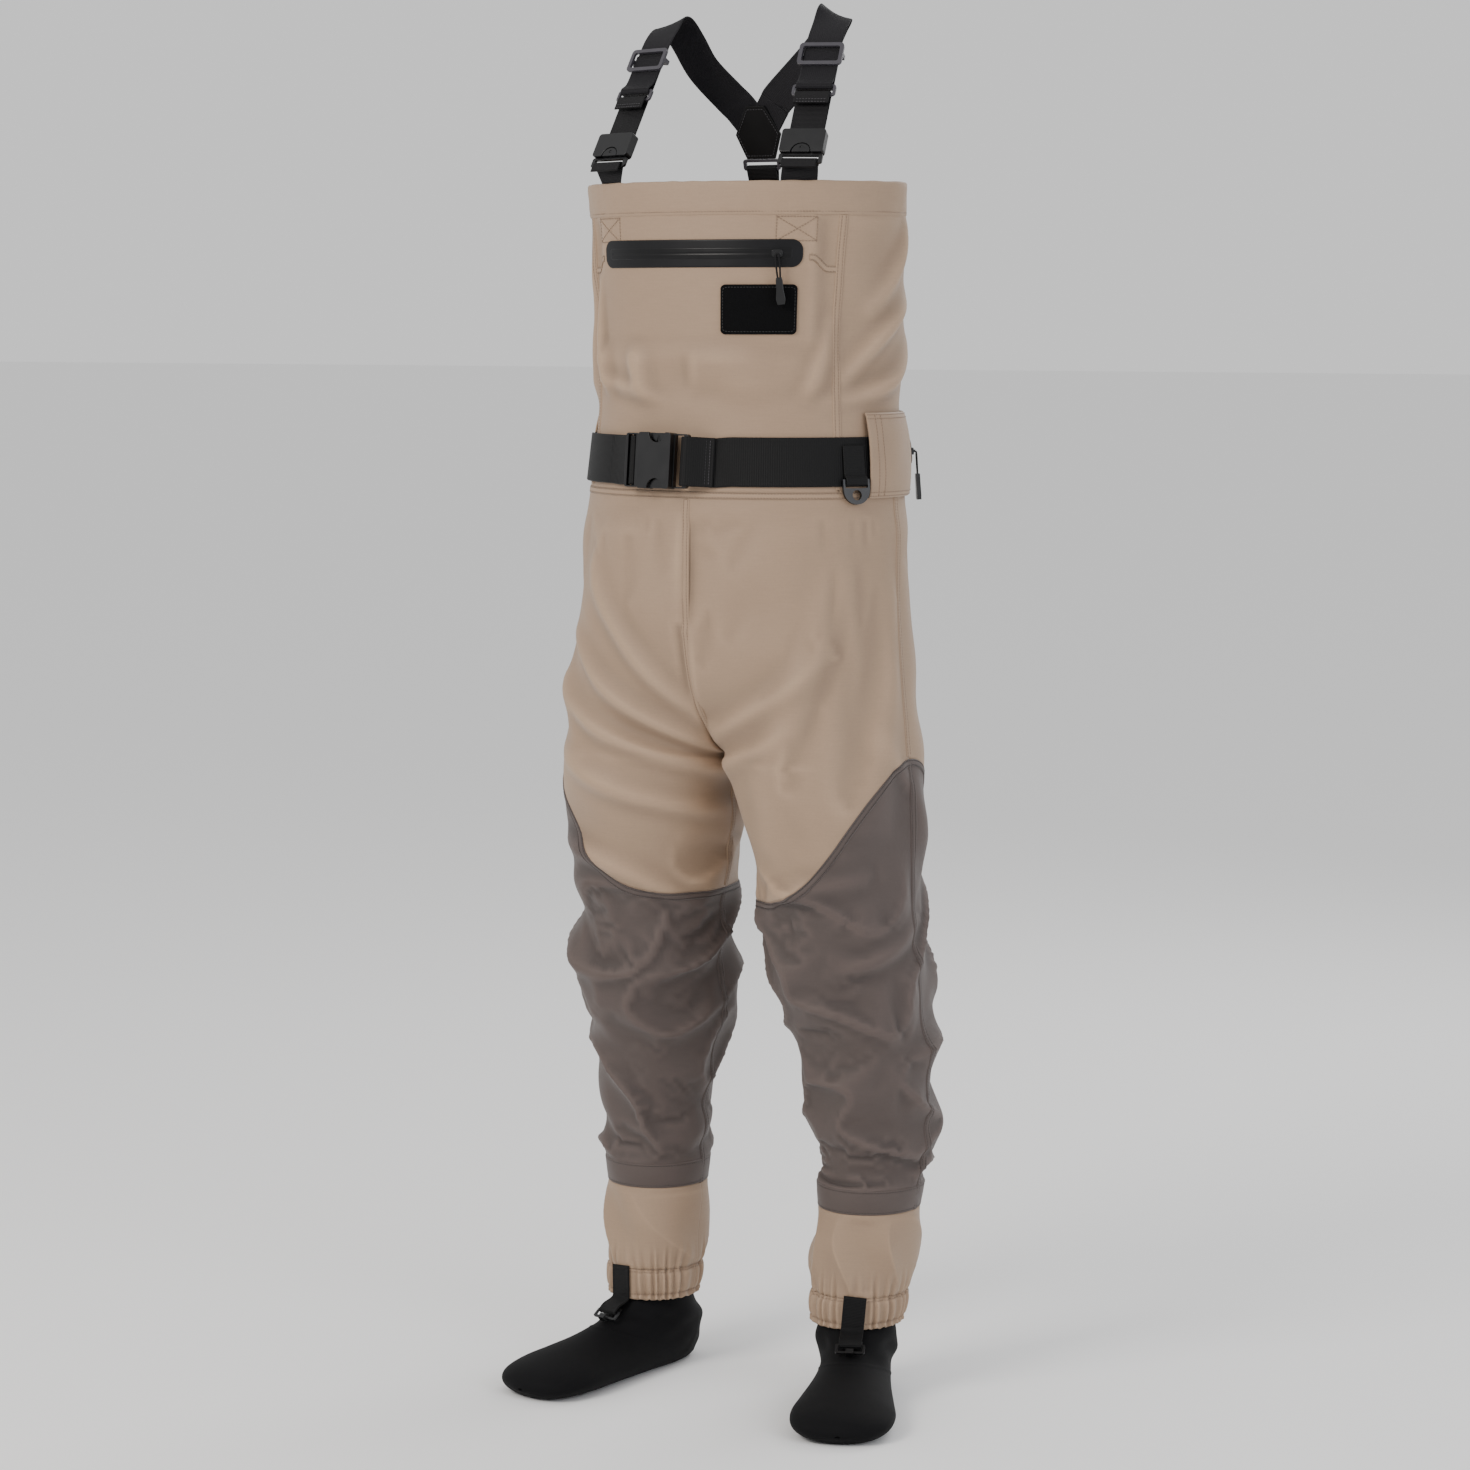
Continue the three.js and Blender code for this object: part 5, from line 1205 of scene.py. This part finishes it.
def guard_skin(side, u, z):
    """The guard's cloth on one leg: the leg's ring, puffed out between seam and hem, with slanting folds
    and gathers that grow towards the hem, where they become ruffles; flat under the hook's tab."""
    base = leg(u, z)
    s = np.clip((CUFF_Z - z) / (CUFF_Z - HEM_TOP_Z), 0, 1)
    a = 2 * pi * u
    puff = 0.0030 * np.sin(pi * np.minimum(s, 1)) ** 0.8
    twist = a + 9 * (z - 0.15) * side
    slant = np.stack([0.05 * np.cos(twist), 0.05 * np.sin(twist), 0.55 * z], -1)
    folds = 0.0042 * (0.6 - np.abs(ripples(slant, 0.075, 61 + side))) * np.sin(pi * np.clip(s, 0.02, 1)) ** 0.6
    wander = 2.4 * ripples(np.stack([0.05 * np.cos(a), 0.05 * np.sin(a), 0 * a + 0.3 * z], -1), 0.07, 71 + side)
    gathers = (0.0011 * np.sin(31 * a + wander) + 0.0005 * np.sin(47 * a + 2 * wander)) * ramp(s, 0.62, 1.0)
    below = ramp(HEM_TOP_Z - z, 0.0, 0.006)
    casing = below * (0.0016 * np.sin(pi * np.clip((HEM_TOP_Z - z) / 0.026, 0, 1))
                      + 0.0006 * np.sin(31 * a + wander + 0.6))
    nip = -0.0014 * np.exp(-((z - HEM_TOP_Z) / 0.0028) ** 2) - 0.0012 * np.exp(-((z - 0.0855) / 0.0022) ** 2)
    off = np.abs((u - tab_share(side) + 0.5) % 1 - 0.5) * 0.32
    free = ramp(off, 0.012, 0.022) * ramp(z, 0, 0.001)
    under = 1 - ramp(z, 0.112, 0.124)
    calm = 1 - under * (1 - free)
    out = (puff * 0.9 + (folds + gathers) * calm * ramp(s, 0.0, 0.12)
           + (casing + nip) * (0.35 + 0.65 * calm) * calm)
    hem_wave = 0.0010 * np.sin(31 * a + wander + 0.4) * ramp(HEM_TOP_Z - z, 0.022, 0.032) * calm
    way = np.stack([-np.cos(a), -np.sin(a), 0 * a], -1)
    points = base + way * out[..., None]
    points[..., 2] += hem_wave
    return points


for side, hand in ((1, "left"), (-1, "right")):
    for name, top, low, rows in (("gravel_guard", CUFF_Z - 0.0002, HEM_TOP_Z, 46),
                                 ("guard_hem", HEM_TOP_Z, HEM_LOW_Z, 22)):
        u, z = np.meshgrid(np.linspace(0, 1, 321), np.linspace(top, low, rows + 1))
        points = guard_skin(side, u, z)
        # The crease heights feed the laminate's painted crease shade; here they are raised by half again.
        crease = crease_of(points, 2) * 1.5
        if side < 0:
            points, crease = points[:, ::-1] * (-1, 1, 1), crease[:, ::-1]
        uv = np.stack([u * 0.32, z], -1)
        mesh = surface_mesh(f"{name}_{hand}", points, uv, {"fold": crease})
        middle = ankle(0.15) * (side, 1, 1)
        between = ("garment", f"guard_{hand}", middle + (0, 0, CUFF_Z - 0.004), middle + (0, 0, HEM_TOP_Z))
        place(f"{name}_{hand}", mesh, between if name == "gravel_guard" else f"guard_{hand}",
              tan_laminate, "tan_laminate", (f"{name}_{hand}",), shell_wall)
    u = np.linspace(0, 1, 260)
    for z in (0.1095, 0.0855):
        ring = guard_skin(side, u, np.full(260, z))
        way = np.stack([-np.cos(2 * pi * u), -np.sin(2 * pi * u), 0 * u], -1)
        sew(hand, ring * (side, 1, 1), way * (side, 1, 1), 0, 0.0003)
    place_stitches(f"hem_stitching_{hand}", hand, f"guard_{hand}", tan_thread, "tan_laminate")

# ---------------------------------------------------------------- stocking feet
# 4 mm neoprene faced with knitted nylon, cut as an upper and a sole that are glued and blind-stitched,
# so a low bead runs round the edge of the sole and over the instep.
SOCK = np.array([
    [49, 199, -49, 199, 46], [45, 165, -45, 165, 43], [44, 110, -44, 110, 41.5], [43.5, 84, -45, 80, 40.5],
    [56, 70, -57, 52, 40], [68, 62, -62, 28, 38], [80, 57, -52, 3, 37], [94, 53, -25, -4, 39],
    [112, 48, 20, -4, 43], [136, 43, 79, -4, 49], [160, 38, 133, -4, 54], [183, 32, 172, -3, 50],
    [198, 25, 192, 0, 37], [204, 17, 201, 6, 18], [205, 12, 204.5, 9, 3],
]) / 1000


def neoprene(name, colour):
    """Nylon-faced neoprene: a fine knit 0.7 mm apart on soft foam, quite matt."""
    material, tree, shader = blank(name)
    place_of = add(tree, "ShaderNodeTexCoord").outputs["Object"]
    knit = add(tree, "ShaderNodeTexVoronoi", {}, {"Vector": place_of, "Scale": 1300.0}).outputs["Distance"]
    soft = add(tree, "ShaderNodeTexNoise", {},
               {"Vector": place_of, "Scale": 28.0, "Detail": 5.0}).outputs["Fac"]
    height = add(tree, "ShaderNodeMath", {"operation": "MULTIPLY_ADD"}, {0: knit, 1: 0.5, 2: soft}).outputs[0]
    finish(tree, shader, linear(colour), soft, (0.25, 0.75), (0.75, 1.3), height, 0.5, 0.0006,
           Roughness=0.78, Sheen_Weight=0.01, Specular_IOR_Level=0.2, IOR=1.45)
    return material


black_neoprene = neoprene("nylon_faced_neoprene", "#050507")


def sock_points(side, nu=96, finer_by=7):
    """The sock: ovals from the instep (front) to the heel or sole (back) of each row, joined by a cubic
    through the rows, the sole flattened on the floor, with beads along the seams and soft creases at
    the ankle."""
    rows = cubic(SOCK, finer_by)
    fq, fz, bq, bz, w = [rows[:, k, None] for k in range(5)]
    a = np.linspace(0, 2 * pi, nu + 1)[None]
    along = np.arange(len(rows))[:, None] / finer_by
    q = (fq + bq) / 2 + (fq - bq) / 2 * np.cos(a)
    z = np.maximum((fz + bz) / 2 + (fz - bz) / 2 * np.cos(a), 0)
    across = np.sin(a) * w
    turn = FOOT_TURN[side]
    forward, outward_way = np.array([sin(turn), -cos(turn), 0]), np.array([cos(turn), sin(turn), 0])
    points = ankle(np.maximum(z, HEM_LOW_Z)) + q[..., None] * forward + across[..., None] * outward_way
    points[..., 2] = z
    n = outward(points)
    bead = 0.0009 * np.exp(-((np.abs(np.abs((a - pi)) - 0.95)) / 0.045) ** 2) * ramp(along, 3.5, 5.5)
    over = 0.0008 * np.exp(-((along - 6.3 - 0.35 * np.cos(a)) / 0.10) ** 2)
    heel = 0.0008 * np.exp(-(np.abs(a - pi) / 0.04) ** 2) * (1 - ramp(along, 4.6, 5.4))
    crease = 0.0016 * ripples(points * (1, 1, 1.8), 0.045, 51 + side) * np.exp(-((along - 4.6) / 1.3) ** 2)
    calm = ramp(z, 0.002, 0.012) * (1 - ramp(along, 12.6, 13.4)) * ramp(along, 0.0, 0.5)
    points = points + n * ((bead + over + heel + crease) * calm)[..., None]
    points[..., 2] = np.maximum(points[..., 2], 0)
    return points


for side, hand in ((1, "left"), (-1, "right")):
    points = sock_points(side)
    points = points if side > 0 else points[:, ::-1] * (-1, 1, 1)
    mesh = surface_mesh(f"sock_{hand}", points, np.stack(np.broadcast_arrays(
        np.linspace(0, 0.27, points.shape[1])[None], np.arange(points.shape[0])[:, None] * 0.003), -1))
    place(f"sock_{hand}", mesh, "garment", black_neoprene, "neoprene", (f"sock_{hand}",),
          (("WELD", {"merge_threshold": 0.00005}), ("SOLIDIFY", {"thickness": 0.0036, "offset": -1.0})))

# ---------------------------------------------------------------- boot hooks
# A webbing tab sewn down the front of each hem is folded round the bar of a small bent hook.
TAB_FOLD = 0.001 * 2**0.5 + GAP + 0.001
tab_webbing = webbing("black_tab_webbing", "#070708", 0.6, 1.6, 1.1, 0.0003)
for side, hand in ((1, "left"), (-1, "right")):
    turn, slope = FOOT_TURN[side], radians(-36)
    forward, outward_way = np.array([sin(turn), -cos(turn), 0]), np.array([cos(turn), sin(turn), 0])

    def on_guard(z):
        """A tab lying on the guard at height z: forward distance and height."""
        reach = np.hypot(sin(turn) / float(girth(LEG, 3, z)), cos(turn) / float(girth(LEG, 4, z)))
        return 1 / reach + 2 * GAP + 0.001, z

    def near_fold(d, n):
        """d along the free end of the tab and n away from the foot."""
        return 0.070 + d * cos(slope) - n * sin(slope), 0.069 + d * sin(slope) + n * cos(slope)

    line = [on_guard(0.115), on_guard(0.098), on_guard(0.087), (on_guard(0.080)[0] + 0.0015, 0.0795),
            near_fold(-0.006, TAB_FOLD),
            *[near_fold(TAB_FOLD * cos(radians(a)), TAB_FOLD * sin(radians(a))) for a in (90, 45, 0, -45, -90)],
            near_fold(-0.007, -TAB_FOLD)]
    q, z = np.array(line).T
    path = ankle(np.maximum(z, HEM_LOW_Z)) + q[:, None] * forward
    path[:, 2] = z
    flip = np.array([side, 1, 1])
    strap(f"hook_tab_{hand}", path * flip, outward_way * flip, 0.024, 0.002, f"guard_{hand}", tab_webbing)
    dress(f"lace_hook_{hand}", black_acetal, 0.0004)

# ---------------------------------------------------------------- suspenders
# Each 38 mm elastic strap loops through a ring, runs up through a three-bar slider and over the
# shoulder to the yoke. A webbing connector joins the ring to a side-release buckle on the bib's tab.
BUCKLE_AT = np.array([0.110, BODY_Y - 0.086, RIM_Z + 0.036])
STRAP_TOP = np.array([0.101, BODY_Y - 0.029, RIM_Z + 0.133])
run_up = (STRAP_TOP - BUCKLE_AT) / np.linalg.norm(STRAP_TOP - BUCKLE_AT)
strap_x = np.array([cos(radians(11)), sin(radians(11)), 0])
strap_x = strap_x - strap_x @ run_up * run_up
strap_x /= np.linalg.norm(strap_x)
strap_frame = (BUCKLE_AT, np.array([strap_x, run_up, np.cross(strap_x, run_up)]))
STRAP_WIDE, STRAP_THICK = 0.038, 0.0015
TAB_WIDE = STRAP_WIDE - 0.001
TURN_RADIUS = 0.0015 * 2**0.5 + GAP + STRAP_THICK / 2
strap_webbing = webbing("black_strap_webbing", "#0b0a0d", 0.58, 1.5, 1.2, 0.0003)
elastic_webbing = webbing("woven_elastic", "#131216", 0.62, 1.1, 2.0, 0.00035, 1.5)


def band(line):
    """Points of a strap given as (up, out) in millimetres in the left strap's frame."""
    return in_frame(strap_frame, np.array([(0, y, z) for y, z in line]) / 1000)


def turn_over(y, sign, radius=TURN_RADIUS * 1000, steps=6):
    """Half turn over a bar at height y: sign 1 over its top, -1 under it."""
    a = np.linspace(0, pi, steps + 1)
    return [(y + sign * radius * sin(v), radius * cos(v)) for v in a]


R = TURN_RADIUS * 1000
LAYER = 1.8
over_shoulder = {
    1: (((97.5, -3, 162), (0.95, 0.05, -0.2)), ((94, 12, 172), (0.88, 0, -0.4)), ((87, 26, 171), (0.8, 0, -0.55)),
        ((77, 36, 161), (0.77, 0.02, -0.62)), ((58, 46, 138), (0.76, 0.04, -0.65))),
    -1: (((-97.5, -4, 161), (-0.95, 0.05, -0.15)), ((-96, 7, 168), (-0.9, 0, -0.3)),
         ((-93, 18, 165), (-0.86, 0, -0.45)), ((-87, 29, 149), (-0.84, 0.02, -0.52)),
         ((-77, 42, 123), (-0.82, 0.04, -0.55))),
}
YOKE = np.array([-0.024, BODY_Y + 0.066, RIM_Z + 0.057])
yoke_up = np.array([0, -0.26, 0.966]) / np.linalg.norm([0, -0.26, 0.966])
yoke_frame = (YOKE, np.array([[1.0, 0, 0], yoke_up, np.cross([1.0, 0, 0], yoke_up)]))
BACK_RING_Y = -33.3
TAB_SAG = 0.0018  # a flat tab stands off the round rim by this much at its middle


def tab_inside(angle, z):
    """Where a tab is sewn flat inside the rim, and the direction of its width."""
    wide = torso(angle + 0.01, z) - torso(angle - 0.01, z)
    return torso(angle, z, -CLOTH - GAP - TAB_SAG - STRAP_THICK / 2), wide / np.linalg.norm(wide)


for side, hand in ((1, "left"), (-1, "right")):
    flip = np.array([side, 1, 1])
    lower = band([(115, -R + LAYER), (83.5, -R + LAYER), (72.5, R), *turn_over(70.5, -1), (108, -R), (131, -R)])
    over = np.array([p for p, _ in over_shoulder[side]]) / 1000 + (0, BODY_Y, RIM_Z)
    over_wide = np.array([w for _, w in over_shoulder[side]])
    under = 0 if side > 0 else -1.9  # the right strap crosses under the left one
    ends = in_frame(yoke_frame, np.array([(side * x, y, -GAP * 1000 - STRAP_THICK * 500 + share * under)
                                          for x, y, share in ((30, 38, 0), (22, 29, 0.6), (15.5, 20, 1),
                                                              (7.8, 9.4, 1))]) / 1000)
    path = np.concatenate([lower * flip, over, ends])
    wide = np.concatenate([np.broadcast_to(strap_x * flip, lower.shape), over_wide,
                           np.broadcast_to([side * 0.78, 0.04, -0.62], ends.shape)])
    strap(f"shoulder_strap_{hand}", path, wide, STRAP_WIDE, STRAP_THICK,
          (f"strap_{hand}", "garment", STRAP_TOP * flip, over[3]), elastic_webbing, "elastic_webbing")
    connector = band([(48, R), *turn_over(60, 1), (48, -R), (13.6, -R)]) * flip
    strap(f"connector_strap_{hand}", connector, strap_x * flip, TAB_WIDE, STRAP_THICK, f"strap_{hand}",
          strap_webbing)
    inside = [tab_inside(TAB_ANGLE, z)[0] for z in (RIM_Z, RIM_Z - 0.012, RIM_Z - 0.027)]
    tab_path = np.concatenate([band([(-27.5, R), *turn_over(-19.5, 1)]), inside]) * flip
    tab_wide = np.concatenate([np.broadcast_to(strap_x, (8, 3)), [tab_inside(TAB_ANGLE, RIM_Z)[1]] * 3]) * flip
    strap(f"bib_tab_{hand}", tab_path, tab_wide, TAB_WIDE, STRAP_THICK, "garment", strap_webbing)
    dress(f"strap_ring_{hand}", grey_acetal, 0.0006)
    dress(f"strap_slider_{hand}", grey_acetal, 0.0006)
    for node in ("buckle_housing", "buckle_tongue", "release_button"):
        dress(f"{node}_{hand}", black_acetal, 0.0005)
    for y in (49.5, 52.5):
        x = np.linspace(-0.016, 0.016, 20)
        on_face = TURN_RADIUS + STRAP_THICK / 2
        line = in_frame(strap_frame, np.stack([x, np.full(20, y / 1000), np.full(20, on_face)], 1))
        sew(hand, line * flip, np.broadcast_to(strap_frame[1][2] * flip, line.shape), 0, 0.0002)
    place_stitches(f"connector_stitching_{hand}", hand, f"strap_{hand}", grey_thread, "webbing")

# Yoke: a six-sided patch of pile-backed webbing sewn over the crossing, with the ring and tab below it.
yoke_film = coated("yoke_leatherette", "#060607", 0.5, 1.1, 0.00014)
dress("yoke_patch", yoke_film, 0.0006)
dress("back_ring", grey_acetal, 0.0006)
corners = np.array([(-11, 29), (-27, -1), (-17, -27), (17, -27), (27, -1), (11, 29), (-11, 29)]) * 0.88 / 1000
for (xa, ya), (xb, yb) in zip(corners[:-1], corners[1:]):
    s = np.linspace(0, 1, 14)
    for level, way in ((0.0026, 1), (0.0, -1)):
        line = in_frame(yoke_frame, np.stack([xa + (xb - xa) * s, ya + (yb - ya) * s, np.full(14, level)], 1))
        sew("yoke", line, np.broadcast_to(yoke_frame[1][2] * way, line.shape), 0, 0.0002)
place_stitches("yoke_stitching", "yoke", "garment", grey_thread, "loop_pile")
back_angle = acos(-0.024 / 0.178)
back_fold = (1.6 * 2**0.5 + 0.3 + 0.75)
loop_line = [(BACK_RING_Y - 16, 3.6), *[(y, z + 1.6) for y, z in turn_over(BACK_RING_Y - 4.4, 1, back_fold)]]
back_loop = in_frame(yoke_frame, np.array([(0, y, z) for y, z in loop_line]) / 1000)
back_in = np.array([tab_inside(back_angle, z)[0] for z in (RIM_Z - 0.004, RIM_Z - 0.028)])
back_wide = np.concatenate([np.broadcast_to([1.0, 0, 0], back_loop.shape),
                            [-tab_inside(back_angle, RIM_Z)[1]] * 2])
strap("back_tab", np.concatenate([back_loop, back_in]), back_wide, 0.035, STRAP_THICK, "garment", strap_webbing)
